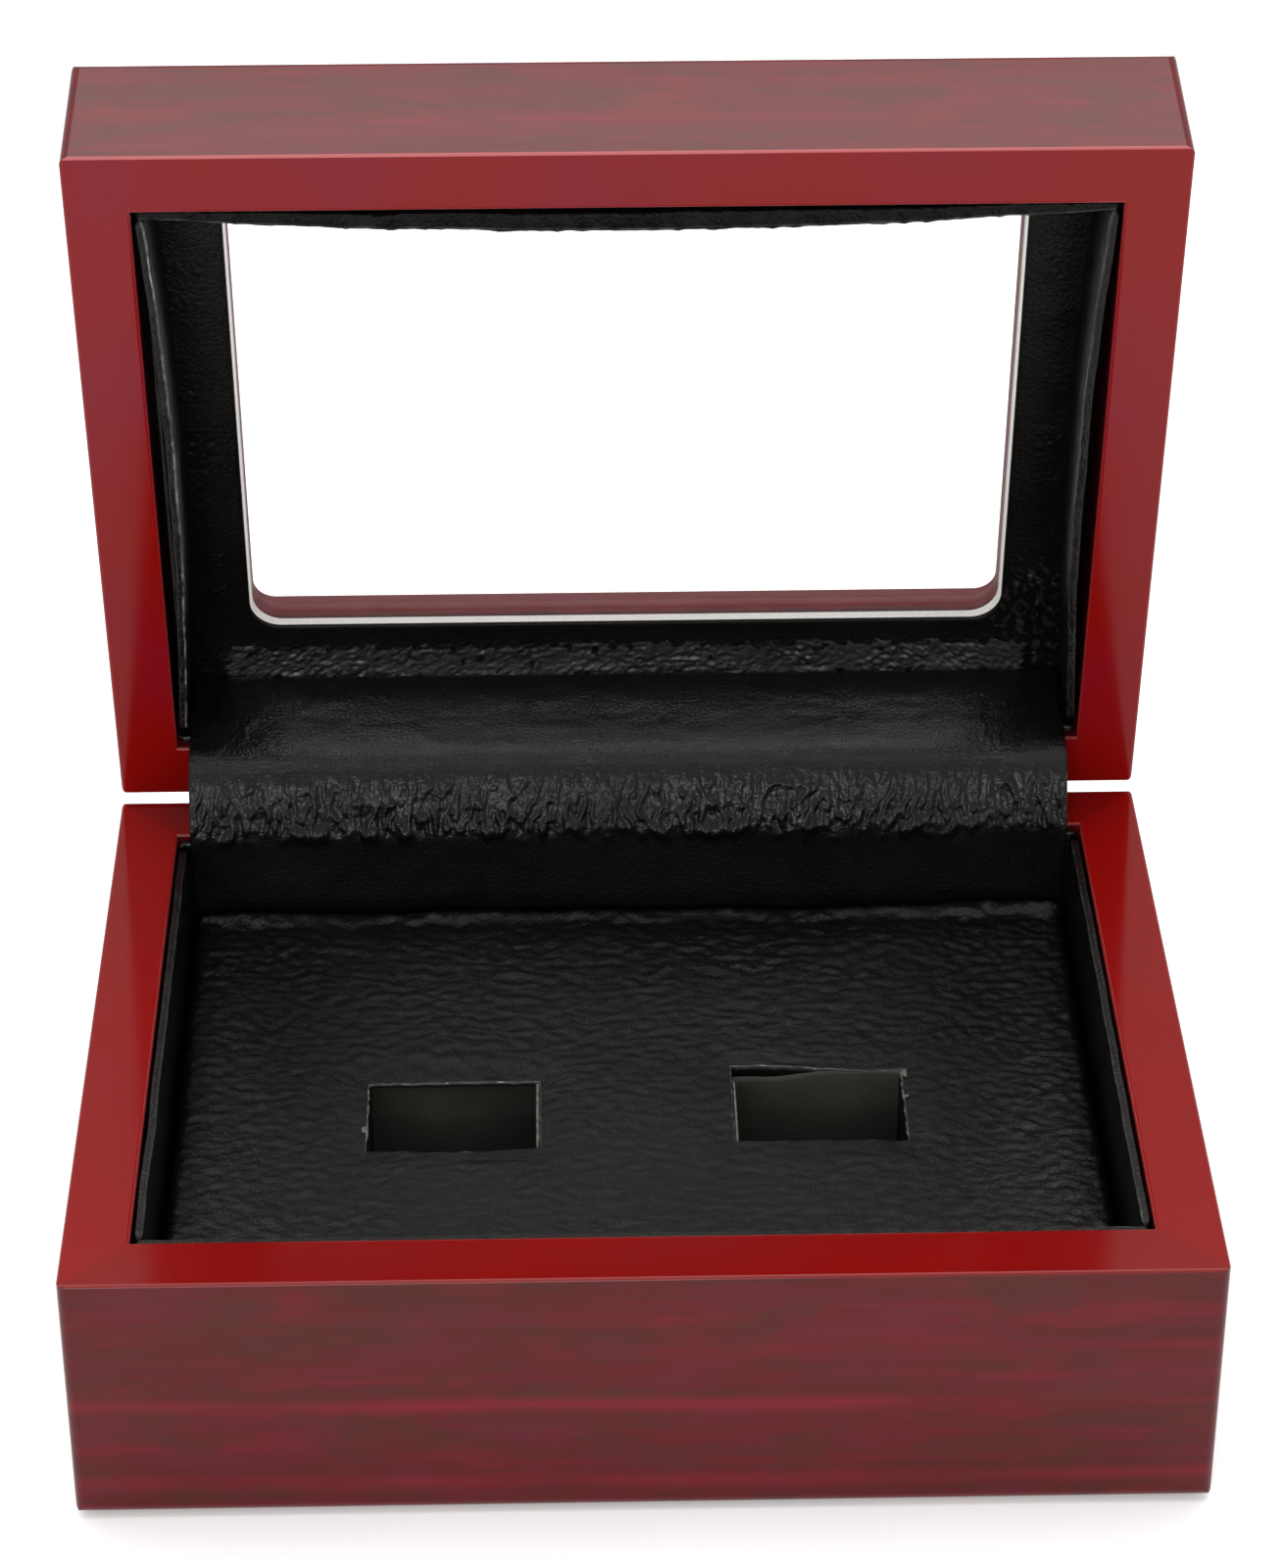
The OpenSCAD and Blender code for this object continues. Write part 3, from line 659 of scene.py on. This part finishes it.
def cushion_stops(half, cuts):
    """Grid lines from -half to half: close on the rolled edges, then even between the slots' edges."""
    turn = np.sin(np.linspace(0, 1, 9) * np.pi / 2)
    inner = half - roll
    stops = [-inner, *sorted(cuts), inner]
    parts = [even(a, b, grid_step)[:-1] for a, b in zip(stops[:-1], stops[1:])]
    return np.concatenate([-inner - roll * turn[:0:-1], *parts, inner + roll * turn])


# Each opening's left, right, front and back edge, measured from the cushion's middle
openings = []
for low, high in tray_boxes:
    edges = low[:2] + cover_lap - cushion_mid[:2], high[:2] - cover_lap - cushion_mid[:2]
    openings.append(np.transpose(edges).ravel())
lines_x = cushion_stops(half_x, [edge for opening in openings for edge in opening[:2]])
lines_y = cushion_stops(half_y, openings[-1][2:])

# %% [markdown]
# The wrinkle map is a sum of noises. Long waves and thin creases lie across the box. Pebbles and slanting
# folds fill the strips beside the side linings, where the cover was pulled round the corners. A patch in
# the middle of the front is quieter than the rest.

# %% The wrinkle map
def cushion_wrinkles(x, y):
    """Height of the wrinkles above the smooth cushion, in millimetres."""
    drift = 1.3 * hills(x / 21, y / 15, 11) + 0.05 * x
    twist = 0.6 * hills(x / 4, y / 3, 10)
    waves = hills(x / 2.8, (y + drift + 1.4 * twist) / 1.45, 12)
    folds = creases((x + twist) / 3.8, (y + drift + 1.6 * twist) / 2.3, 13) - 0.3
    fine = hills(x / 1.6, (y + drift) / 1.0, 14)
    pebbles = hills((x + 0.3 * y) / 2.0, (y + drift) / 1.35, 15)
    slanting = creases((x + 0.8 * y) / 3.0, (y - 0.5 * x) / 2.3, 16) - 0.3
    beside = fade(np.abs(x), 32, 58) * (1 + 0.3 * (x > 0))
    back = fade(y, -12, 36)
    lip = fade(y, 42, 45)
    quiet = 1 - fade(np.hypot(x / 46, (y + 34) / 22), 0.45, 1.15)
    strength = (1.05 + 0.1 * back + 0.05 * beside + 0.4 * lip) * (1 - 0.25 * quiet)
    across = 0.16 * waves + 0.06 * folds + 0.03 * fine
    return strength * ((1 - 0.5 * beside) * across + beside * (0.15 * pebbles + 0.05 * slanting))


grid_x, grid_y = np.meshgrid(lines_x, lines_y)
grid = np.stack([grid_x, grid_y], axis=2)
into_roll = np.clip((np.abs(grid) - (half - roll)) / roll, 0, 1)
rounding = into_roll * np.sqrt(1 - into_roll[..., ::-1] ** 2 / 2)
reach = np.clip(np.hypot(rounding[..., 0], rounding[..., 1]), 0, 1)
plan = np.sign(grid) * (np.minimum(np.abs(grid), half - roll) + roll * rounding)
plan_x, plan_y = plan[..., 0], plan[..., 1]
crown = (1 - (plan_x / half_x) ** 2) * (1 - np.abs(plan_y / half_y) ** np.where(plan_y > 0, 3, 2))
draw_in = 0.5
sag = 0.35 * hills(plan_x / 34, plan_y / 26, 17)
top_z = cushion_edge_z + crown_rise * crown + sag * crown - roll * (1 - np.sqrt(1 - reach**2))
drawn = plan * (1 - draw_in / half * (1 - (plan / half)[..., ::-1] ** 2))
cushion_top = np.dstack([drawn, top_z])
# The back edge rises in a wavy lip
lip_start = half_y - 4.2 + 1.1 * ripples(plan_x / 7, 21)
at_back = 0.4 * fade(plan_y, half_y - 20, half_y - 4) + 0.6 * fade(plan_y, lip_start, lip_start + 3.4)
back_lift = 1.65 + 0.5 * ripples(plan_x / 17, 18) + 0.7 * fade(plan_x, 30, 62)
cushion_top[..., 2] += at_back * back_lift
edge_soft = 1 - 0.45 * fade(reach, 0.5, 1)
cushion_top += grid_normals(cushion_top) * (cushion_wrinkles(plan_x, plan_y) * edge_soft)[..., None]

# %% [markdown]
# The slots' edges are next. Fingers that pressed the trays in have bent them: the left opening bows towards
# the front and its rear lip hangs over the tray, and the right one's rear edge was pulled back. The cover
# dips a little all round both.

# %% Shape the cover round the slots
# For each slot, in millimetres: how far its front edge bows and moves forward, and its rear edge moves back
slot_pushes = ((0.6, 0.35, -1.8), (-0.15, -0.35, 1.3))
slot_corners = []
for (left, right_edge, front, back), (front_bow, front_move, rear_move) in zip(openings, slot_pushes):
    middle_x = (left + right_edge) / 2
    aside = np.maximum(np.abs(grid_x - middle_x) - (right_edge - left) / 2, 0)
    beyond_y = np.maximum(np.abs(grid_y - (front + back) / 2) - (back - front) / 2, 0)
    near_slot = 1 - fade(np.hypot(aside, beyond_y), 0, 5)
    bow = np.clip(1 - ((grid_x - middle_x) / (right_edge - left) * 2) ** 2, 0, 1)
    near_front = 1 - fade(np.abs(grid_y - front), 0, 6)
    beside_slot = 1 - fade(aside, 0, 6)
    ahead = near_front * (1 + 0.8 * ripples(grid_x / 4, 19))
    cushion_top[..., 1] -= front_bow * bow * ahead + front_move * (near_front * beside_slot)
    at_rear = (1 - fade(np.abs(grid_y - back), 0, 5)) * beside_slot
    # The right slot's rear edge is pulled back on its left half only
    pulled = 1 if middle_x < 0 else 1 - fade(grid_x, left + 4, right_edge - 5)
    cushion_top[..., 1] += rear_move * pulled * at_rear
    cushion_top[..., 2] -= 0.35 * near_slot
    slot_corners.append([
        int(np.argmin(np.abs(lines - edge)))
        for lines, edge in ((lines_x, left), (lines_x, right_edge), (lines_y, front), (lines_y, back))
    ])

rows, columns = grid_x.shape
in_slot = np.zeros((rows - 1, columns - 1), bool)
for first_column, last_column, first_row, last_row in slot_corners:
    in_slot[first_row:last_row, first_column:last_column] = True
faces = grid_faces(rows, columns)[~in_slot.reshape(-1)].tolist()
points = [cushion_top.reshape(-1, 3) + (*cushion_mid[:2], 0)]


def skirt(loop, rings, outward):
    """Joins a loop to rings of points below it, as a wall facing outward or inward, and closes the last."""
    before = loop
    for ring in rings:
        numbers = sum(map(len, points)) + np.arange(len(loop))
        points.append(ring)
        next_before, next_numbers = np.roll(before, -1), np.roll(numbers, -1)
        beside = (numbers, next_before) if outward else (next_before, numbers)
        faces.extend(np.stack([before, beside[0], next_numbers, beside[1]], axis=1).tolist())
        before = numbers
    faces.append(before[::-1].tolist() if outward else before.tolist())


# %% Close the cushion's sides and the slots' lips
rim = grid_loop(columns, 0, columns - 1, 0, rows - 1)
rim_points = points[0][rim]
run = np.cumsum(np.linalg.norm(np.roll(rim_points, -1, axis=0) - rim_points, axis=1))
outward = rim_points[:, :2] - cushion_mid[:2]
outward = np.where(np.abs(outward) > half - roll, np.sign(outward), 0.0)
outward /= np.maximum(np.linalg.norm(outward, axis=1, keepdims=True), 1)
side_rings = []
for depth in (0.5, 1.2, 2, 3, 4.2, 5.6, 7.5, 10, 13, 17, 21):
    ring = rim_points.copy()
    push = 0.09 * ripples(run / 2.6, 20, depth / 4) * min(1, depth / 2) - 0.05
    ring[:, :2] += outward * push[:, None]
    ring[:, 2] = np.maximum(rim_points[:, 2] - depth, cover_low[2])
    side_rings.append(ring)
foot = ring.copy()
foot[:, 2] = cover_low[2]
skirt(rim, side_rings + [foot], outward=True)

# A painted highlight: a pale specked line with small glints round the slots' edges, on the first band of each
# lip
slot_edge_highlight = edge_tone_and_highlight(
    "painted_slot_edge_highlight", 0.45, 620, (0.42, 0.004), (0.6, (0.07, 0.068, 0.065)), (0.72, (0.4, 0.39, 0.37))
)
slot_highlight_faces = set()
for corners, (low, high) in zip(slot_corners, tray_boxes):
    loop = grid_loop(columns, *corners)
    slot_highlight_faces |= set(range(len(faces), len(faces) + len(loop)))
    edge = points[0][loop]
    middle = (low + high) / 2
    inward = middle[:2] - edge[:, :2]
    inward = np.stack([
        np.where(np.isin(loop % columns, corners[:2]), np.sign(inward[:, 0]), 0.0),
        np.where(np.isin(loop // columns, corners[2:]), np.sign(inward[:, 1]), 0.0),
    ], axis=1)
    # Below its lip the film is tucked back behind the tray's rear wall, wherever the lip hangs over that wall
    unbent_y = grid_y.reshape(-1)[loop] + cushion_mid[1]
    tucked = np.where(unbent_y > middle[1], np.maximum(edge[:, 1], unbent_y), edge[:, 1])
    rings = []
    for inset, drop in ((0.16, 0.07), (0.3, 0.22), (0.38, 0.5), (0.4, 0.9), (0.4, 3.0)):
        ring = edge.copy()
        ring[:, 1] = edge[:, 1] if drop < 0.8 else tucked
        ring[:, :2] += inward * inset
        ring[:, 2] -= drop
        rings.append(ring)
    foot = ring.copy()
    foot[:, 2] = low[2] - 0.3
    skirt(loop, rings + [foot], outward=False)

cushion = make_piece(
    "cushion", np.concatenate(points), faces, "base", ("insert_cover", "insert_foam"),
    [leatherette("cushion_leatherette", roughness=0.38, strength=0.35, shine=0.2, grain=0.0009), slot_edge_highlight],
    paint=[face in slot_highlight_faces for face in range(len(faces))],
)

# %% [markdown]
# ## The ring slots' linings
# Each slot is lined with a tray of thin flocked board. Seen from the front, its back wall shows as a soft
# grey-green panel that bulges a little, and the board's cut edges show as two pale lines at the ends. The
# tray is built as a stack of rings: up the outside, over the edge and down the inside.

# %% Build the two trays
flocked = Finish(
    "flocked_board", Roughness=1.0, Specular_IOR_Level=0.1, Sheen_Weight=0.12, Sheen_Roughness=0.6
)
fibres = flocked.noise(flocked.place(), 2600, 2)
shade = flocked.noise(flocked.place(), 120, 2)
flocked.set("Base Color", flocked.ramp(
    flocked.blend(fibres, 0.4, shade), (0.3, (0.018, 0.0195, 0.0145)), (0.7, (0.036, 0.038, 0.029))
))
flocked.set("Normal", flocked.bump(fibres, 0.5, 0.0002))
cut_edge = edge_tone_and_highlight(
    "cut_board_edge", 0.8, 900, (0.3, (0.05, 0.049, 0.044)), (0.7, (0.2, 0.19, 0.175)), noise_roughness=0.5
)
board_t = 1.2
edge_round = 0.18
per_side = 24


def ring_round(low, high, inset, z, bulge=0.0, splay=0.0):
    """Points round a rectangle, whose back wall bulges inward in the middle and whose side walls splay."""
    x0, x1 = low[0] + inset - splay, high[0] - inset + splay
    y0, y1 = low[1] + inset, high[1] - inset
    corners = np.array([[x0, y0], [x1, y0], [x1, y1], [x0, y1]])
    inward = np.array([[0, 1], [-1, 0], [0, -1], [1, 0]])
    share = np.linspace(0, 1, per_side, endpoint=False)[:, None]
    sides = []
    for side in range(4):
        line = corners[side] + share * (corners[(side + 1) % 4] - corners[side])
        sides.append(line + inward[side] * bulge * np.sin(share * np.pi) ** 1.5 * (side == 2))
    flat = np.concatenate(sides)
    return np.column_stack([flat, np.broadcast_to(z, len(flat))])


def tray_rings(low, high, seed, slump):
    """Rings of points from the outer foot over the edge to the floor. slump lowers the back's left part."""
    x, y, _ = ring_round(low, high, 0, 0).T
    front_low = 1.3 * (1 - fade(y, low[1] + 0.2, low[1] + 2.2))
    sunk = slump * fade(y, high[1] - 2.5, high[1] - 1) * (1 - fade(x, low[0] + 6, low[0] + 17))
    top = high[2] - front_low - sunk + 0.18 * hills(x / 6, y / 6, seed) * fade(y, high[1] - 1, high[1])
    rings = [ring_round(low, high, 0.02, low[2] + share * (top - 0.25 - low[2])) for share in (0.0, 0.5, 1.0)]
    for inset, drop in ((0.16, 0.0), (board_t - 0.12, 0.0), (board_t, edge_round)):
        rings.append(ring_round(low, high, inset, top - drop))
    depth = high[2] - low[2] - board_t
    for share in np.linspace(0.08, 1, 14):
        z = np.minimum(top - edge_round, high[2]) - share * (depth - edge_round - (high[2] - top))
        bulge = 1.3 * math.sin(share * math.pi * 0.8)
        rings.append(ring_round(low, high, board_t, z, bulge, splay=0.85 * share**0.7))
    return rings


for name, (low, high), seed, slump in zip(("left", "right"), tray_boxes, (31, 32), (0.0, 1.2)):
    rings = tray_rings(low, high, seed, slump)
    size = 4 * per_side
    faces = tube_faces(len(rings), size)
    # The cut edges are the two bands over the top, on the left and right sides
    paint = [3 * size <= face < 5 * size and face % size // per_side in (1, 3) for face in range(len(faces))]
    make_piece(
        f"ring_slot_tray_{name}", np.concatenate(rings), faces, "base", (f"ring_slot_lining_{name}",),
        [flocked.material, cut_edge], paint,
    )

# %% [markdown]
# ## The lining strips
# Every wall is lined with a strip of board in leatherette. The base's strips stand straight. The lid's front
# and side strips have sprung away from the wood in the middle, and one sees a dark gap, then the strip's
# rounded edge, and then a bright line where the film turns the corner; that line is a painted highlight on
# the corner's faces. A strip is a section swept along a line in plan: up its face, round its free edge and
# down its back.

# %% Sweep a strip
strip_skin = leatherette("strip_leatherette", roughness=0.36, strength=0.55, shine=0.22)
dull_skin = leatherette("dull_leatherette", roughness=0.46, strength=0.9, shine=0.12, grain=0.0012)
# The strips' rounded corners get a painted highlight of pale specks: bright on the lid's left strip, faint on
# the rest
bright_arris_highlight = edge_tone_and_highlight(
    "bright_arris_highlight", 0.4, 420, (0.36, 0.01), (0.52, (0.09, 0.087, 0.084)), (0.68, (0.24, 0.235, 0.23))
)
faint_arris_highlight = edge_tone_and_highlight(
    "faint_arris_highlight", 0.4, 420, (0.45, 0.004), (0.62, (0.018, 0.017, 0.016)), (0.75, (0.08, 0.078, 0.075))
)
strip_t = 1.3
strip_corner = 0.28
strip_step = 0.75
face_step = 0.8
end_radius = 1.0


def lining_strip(part, side, start, end, face_bow, back_bow, rough, seed):
    """Makes one strip. start and end are its back's ends in plan, with the face on the left-hand side."""
    in_lid = part == "lid"
    low, high = node_box(f"{part}_lining_{side}", shut=in_lid)
    start, end = np.array(start, float), np.array(end, float)
    length = np.linalg.norm(end - start)
    along = (end - start) / length
    inward = np.array([-along[1], along[0]])
    height = high[2] - low[2]
    share = np.linspace(0, 1, int(length / strip_step) + 1)
    s = share * length
    bow = 1 - (2 * share - 1) ** 2
    from_end = np.minimum(share, 1 - share) * length
    round_end = np.sqrt(np.clip(1 - (1 - from_end / end_radius) ** 2, 0, 1))
    round_end = np.where(from_end < end_radius, round_end, 1.0)
    # The section: (share of the way out from the back, distance below the free edge)
    turn = np.linspace(0, np.pi / 2, 5)
    lean = strip_corner / strip_t
    face_side = [(1.0, d) for d in np.arange(height, strip_corner, -face_step)]
    face_side += [(1 - lean * (1 - math.cos(a)), strip_corner * (1 - math.sin(a))) for a in turn]
    back_side = [(lean * (1 - math.sin(a)), strip_corner * (1 - math.cos(a))) for a in turn]
    section = face_side + back_side + [(0.0, height * 0.5), (0.0, height)]
    arris = range(len(face_side) - len(turn), len(face_side) - 1)
    back = back_bow * bow
    face = face_bow * bow + strip_t
    # The board carries bumps of two sizes, and its edge wavers slowly
    points = []
    for out_share, below in section:
        out = back + (face - back) * (0.5 + (out_share - 0.5) * round_end)
        drop = below + (1 - round_end) * 0.8 * (1 if below < 2 else 0)
        bumps = rough * (ripples(s / 1.7, seed, below / 1.7 + out_share * 3)
                         + 0.8 * ripples(s / 5, seed + 1, below / 5 + out_share))
        edge_wave = 0.22 * ripples(s / 13, seed + 2) * (1 if below < 1.2 else 0.4)
        off_wall = out + bumps * (0.4 + 0.6 * out_share) + edge_wave
        plan = start + along * s[:, None] + inward * off_wall[:, None]
        # The free edge is the upper one in the base, and the lower one in the lid when that is shut
        z = (low[2] + drop if in_lid else high[2] - drop) + bumps * (1 if below < strip_corner else 0)
        points.append(np.column_stack([plan, z]))
    grid = np.stack(points, axis=1)
    rows, columns = grid.shape[:2]
    faces = tube_faces(rows, columns)
    if in_lid:
        faces = [face[::-1] for face in faces]
    name = f"{part}_strip_{side}"
    # The corner's faces carry the painted highlight
    make_piece(
        name, grid, faces, part, (f"{part}_lining_{side}",),
        [dull_skin if name == "lid_strip_front" else strip_skin,
         bright_arris_highlight if name == "lid_strip_left" else faint_arris_highlight],
        paint=[face % columns in arris for face in range(len(faces))], in_lid=in_lid,
    )


glue_gap = 0.3
back_x, back_y = node_box("base_floor")[1][:2] - glue_gap
side_low, side_high = node_box("base_lining_left")
# Each wall's strip: its back's ends in plan, and in the lid how far its face and back bow and its roughness
strips = (
    ("front", (-back_x, -back_y), (back_x, -back_y), (2.9, 1.1, 0.34)),
    ("back", (back_x, back_y), (-back_x, back_y), (0, 0, 0.05)),
    ("left", (-back_x, side_high[1]), (-back_x, side_low[1]), (1.7, 1.7, 0.07)),
    ("right", (back_x, side_low[1]), (back_x, side_high[1]), (1.7, 1.7, 0.07)),
)
for number, (side, start, end, lid_shape) in enumerate(strips):
    lining_strip("base", side, start, end, 0, 0, 0.05, seed=40 + number)
    lining_strip("lid", side, start, end, *lid_shape, seed=50 + number)

# %% [markdown]
# ## The window's liner
# The skin round the window is leatherette glued to the white card. It lies flat, but the film crumpled where
# it was pressed into the corners, most of all along the hinge side, where it curves up to the flap, and in
# the corner to the right of that. Those crumples are shinier and catch the light as small bright flecks. The
# sheet is laid out as rings between the window's rounded edge and the lid's walls.

# %% Lay the liner's rings
liner_low, liner_high = node_box("window_liner_skin", shut=True)
liner_points = node_points("window_liner_skin", shut=True)[:, :2]
inside = np.all((liner_points > liner_low[:2] + 2) & (liner_points < liner_high[:2] - 2), axis=1)
window_low, window_high = liner_points[inside].min(0), liner_points[inside].max(0)
print("window through the liner, mm:", (window_high - window_low).round(1))


def rounded_rectangle(low, high, radius, steps):
    """Points round a rectangle, anticlockwise from the lower left corner's arc.

    steps says how many of them a side along x and a side along y have.
    """
    (x0, y0), (x1, y1) = low + radius, high - radius
    arcs = []
    for x, y, begin in ((x0, y0, 180), (x1, y0, 270), (x1, y1, 0), (x0, y1, 90)):
        angles = [math.radians(begin + 90 * share) for share in np.linspace(0, 1, 13)]
        arcs.append(np.array([(x + radius * math.cos(a), y + radius * math.sin(a)) for a in angles]))
    out = []
    for arc, following, count in zip(arcs, arcs[1:] + arcs[:1], steps * 2):
        share = np.linspace(0, 1, count + 1)[1:-1, None]
        out += [arc, arc[-1] + share * (following[0] - arc[-1])]
    return np.concatenate(out)


side_steps = (340, 240)
side_trim = np.array([0.35, 0.0])
window_radius = 4.7
outer_radius = 0.6
wall_gap = 0.1
inner_ring = rounded_rectangle(window_low - side_trim, window_high + side_trim, window_radius, side_steps)
outer_ring = rounded_rectangle(liner_low[:2] + wall_gap, liner_high[:2] - wall_gap, outer_radius, side_steps)
rolled_shares = [0, 0.008, 0.02, 0.045]
flat_rings = 38
shares = np.concatenate([rolled_shares[:3], np.linspace(rolled_shares[3], 1, flat_rings)])
plan = inner_ring[None] + shares[:, None, None] * (outer_ring - inner_ring)[None]
x, y = plan[..., 0], plan[..., 1]
to_back = liner_high[1] - y
short_of_ends = fade(np.abs(x), 66, 62)
hinge_band = fade(to_back, 10.2, 6) * short_of_ends
right_corner = 0.9 * fade(np.hypot((x - 65) / 0.8, (y - 38) / 1.3), 13, 6)
side_bands = 0.6 * fade(np.abs(x), 61, 63.5) * fade(hills(x / 9, y / 11, 62), -0.1, 0.35)
clusters = 0.45 + 0.55 * fade(hills(x / 8, y / 5, 63), -0.35, 0.3)
crumple = np.maximum.reduce([hinge_band, right_corner, side_bands]) * clusters
ridges = np.clip(1 - 2.0 * np.abs(hills(x / 1.3, y / 1.0, 64)), 0, 1) ** 1.2
rise = crumple * (0.26 * ridges + 0.17 * hills(x / 0.85, y / 0.75, 65)) + 0.05 * hills(x / 6, y / 6, 66)
cove = np.clip((8.5 - to_back) / 7, 0, 1) ** 1.5 * short_of_ends
rise += 0.62 * cove * (0.9 + 0.3 * hills(x / 14, y / 30, 67))
rise = rise * fade(shares, 0.03, 0.2)[:, None] * (1 - fade(shares, 0.93, 1.0))[:, None]
edge_fall = np.interp(shares, rolled_shares, [0.35, 0.1, 0.02, 0.0])[:, None]
# The first and the last ring again, on the card, close the sheet
z = np.pad(liner_low[2] - rise + edge_fall, ((1, 1), (0, 0)), constant_values=liner_high[2])
liner = np.dstack([np.pad(plan, ((1, 1), (0, 0), (0, 0)), mode="edge"), z])
rows, ring_size = liner.shape[:2]
faces = grid_faces(rows, ring_size, around=True, over=True)
flecks = hills(x / 1.4, y / 1.4, 68)
crumpled = (hinge_band + 0.55 * flecks > 0.6) | (right_corner + 0.8 * flecks > 0.85)
shiny = np.pad(crumpled.reshape(-1), ring_size)
liner_skin = make_piece(
    "window_liner", liner, faces.tolist(), "lid", ("window_liner_skin",),
    [leatherette("liner_leatherette", roughness=0.36, strength=0.35, shine=0.15),
     leatherette("crumpled_leatherette", roughness=0.35, strength=0.25, shine=0.85)],
    paint=shiny[faces].all(axis=1), in_lid=True,
)

# %% [markdown]
# ## The hinge flap
# A strip of the same leatherette hides the hinges. It is glued down behind the cushion, comes up out of the
# base, leans over the gap and runs on into the lid. Open, it is squeezed between the two rims, so the part
# that leans puckers into fine upright creases, with little hooks along its lower fold. The part in the lid
# lies smooth. It is one sheet, bent along its side view. It rides on no body: it is built in the open pose,
# and its points are baked into place.

# %% The flap's side view
flap_low, flap_high = node_box("hinge_flap")
flap_y = cover_high[1] + 0.8
base_rim_z = node_box("base_back_wall")[1][2]
lid_rim_z = node_box("lid_back_wall", shut=True)[0][2]
tab_end_z = liner_low[2] - 0.35


def in_open_lid(y, z):
    """Side-view point of the shut lid, where the open lid has it."""
    return turned(np.array([[0.0, y, z]]), opening_turn)[0][1:]


# Each corner of the side view, and how far from it the sheet begins to bend
flap_corners = [
    (np.array([flap_y, flap_low[2]]), 0),
    (np.array([flap_y, base_rim_z + 0.9]), 1.5),
    (in_open_lid(flap_y, lid_rim_z - 6.4), 4.6),
    (in_open_lid(flap_y, tab_end_z), 0),
]
smooth = [flap_corners[0][0]]
for (before, _), (bend, cut), (after, _) in zip(flap_corners[:-2], flap_corners[1:-1], flap_corners[2:]):
    enter = bend + cut * (before - bend) / np.linalg.norm(before - bend)
    leave = bend + cut * (after - bend) / np.linalg.norm(after - bend)
    for t in np.linspace(0, 1, 9):
        smooth.append((1 - t) ** 2 * enter + 2 * t * (1 - t) * bend + t * t * leave)
smooth = np.array(smooth + [flap_corners[-1][0]])
travelled = np.concatenate([[0], np.cumsum(np.linalg.norm(np.diff(smooth, axis=0), axis=1))])
flap_length = travelled[-1]
at_base_fold, at_crest = (
    travelled[np.argmin(np.linalg.norm(smooth - corner, axis=1))] for corner, _ in flap_corners[1:3]
)
puckered = at_base_fold - 3, at_crest + 3
tab_step, pucker_step, shelf_step, across_step = 1, 0.33, 0.7, 0.3
stations = np.concatenate([
    even(0, puckered[0], tab_step)[:-1], even(*puckered, pucker_step),
    even(puckered[1], flap_length, shelf_step)[1:],
])
print("flap length, mm:", flap_length.round(1), "folds at", at_base_fold.round(1), at_crest.round(1))

# %% Pucker the flap
flap_w = flap_high[0] - flap_low[0] - 2
flap_t = 0.5
s, x = np.meshgrid(stations, even(-flap_w / 2, flap_w / 2, across_step), indexing="ij")
flap = np.dstack([x, *(np.interp(s, travelled, smooth[:, k]) for k in (0, 1))])
wander = 1.2 * hills(x / 9, s / 7, 71)
upright = creases((x + wander) / 1.9, s / 5, 72)
upright_fine = hills((x + 0.5 * wander) / 0.85, s / 2.4, 73)
puckers = 0.3 * upright + 0.24 * upright_fine + 0.08 * hills(x / 0.7, s / 0.9, 80)
leaning = fade(s, at_base_fold - 1.5, at_base_fold + 1.0) * (1 - fade(s, at_crest - 3.5, at_crest + 0.5))
low_part = bell(s, at_base_fold + 2.2, 3.0)
hooks = bell(s, at_base_fold, 1.3) * fade(hills(x / 2.4, s / 5, 74), 0.0, 0.55)
shelf = fade(s, at_crest, at_crest + 4)
shelf_ripples = 0.07 * hills(x / 5, s / 1.7, 76) + 0.10 * hills(x / 16, s / 6, 77)
shelf_folds = 0.10 * fade(np.abs(x), 45, 62) * creases(x / 4, s / 4, 78)
tab = 1 - fade(s, at_base_fold - 6, at_base_fold - 1)
height = (
    leaning * puckers * (0.7 + 0.9 * low_part)
    + 0.6 * hooks
    + leaning * 0.35 * hills(x / 17, s / 12, 75)
    + shelf * (shelf_ripples + shelf_folds)
    + tab * 0.06 * hills(x / 6, s / 6, 79)
)
height *= 1 - 0.6 * fade(np.abs(x), flap_w / 2 - 0.6, flap_w / 2)
fold_wave = 0.55 * ripples(x / 5, 81) + 0.4 * ripples(x / 2.2, 82)
flap[..., 2] += fold_wave * bell(s, at_base_fold, 3.5)
flap_normal = grid_normals(flap)
flap += flap_normal * (height - 0.1)[..., None]
front = flap.reshape(-1, 3)
back = (flap - flap_normal * flap_t).reshape(-1, 3)
rows, columns = x.shape
sheet_faces = grid_faces(rows, columns)
border = grid_loop(columns, 0, columns - 1, 0, rows - 1)
following = np.roll(border, -1)
behind = rows * columns
edge_faces = np.stack([border, border + behind, following + behind, following], axis=1)
flap_faces = np.concatenate([sheet_faces, sheet_faces[:, ::-1] + behind, edge_faces])
flap_piece = make_piece(
    "flap_over_hinges", np.concatenate([front, back]), flap_faces.tolist(), None, ("hinge_flap",),
    [leatherette("flap_leatherette", roughness=0.32, strength=0.32, shine=0.27, grain=0.0009)],
)
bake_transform(flap_piece)

# %% Keep both boxes and finish
low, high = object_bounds()
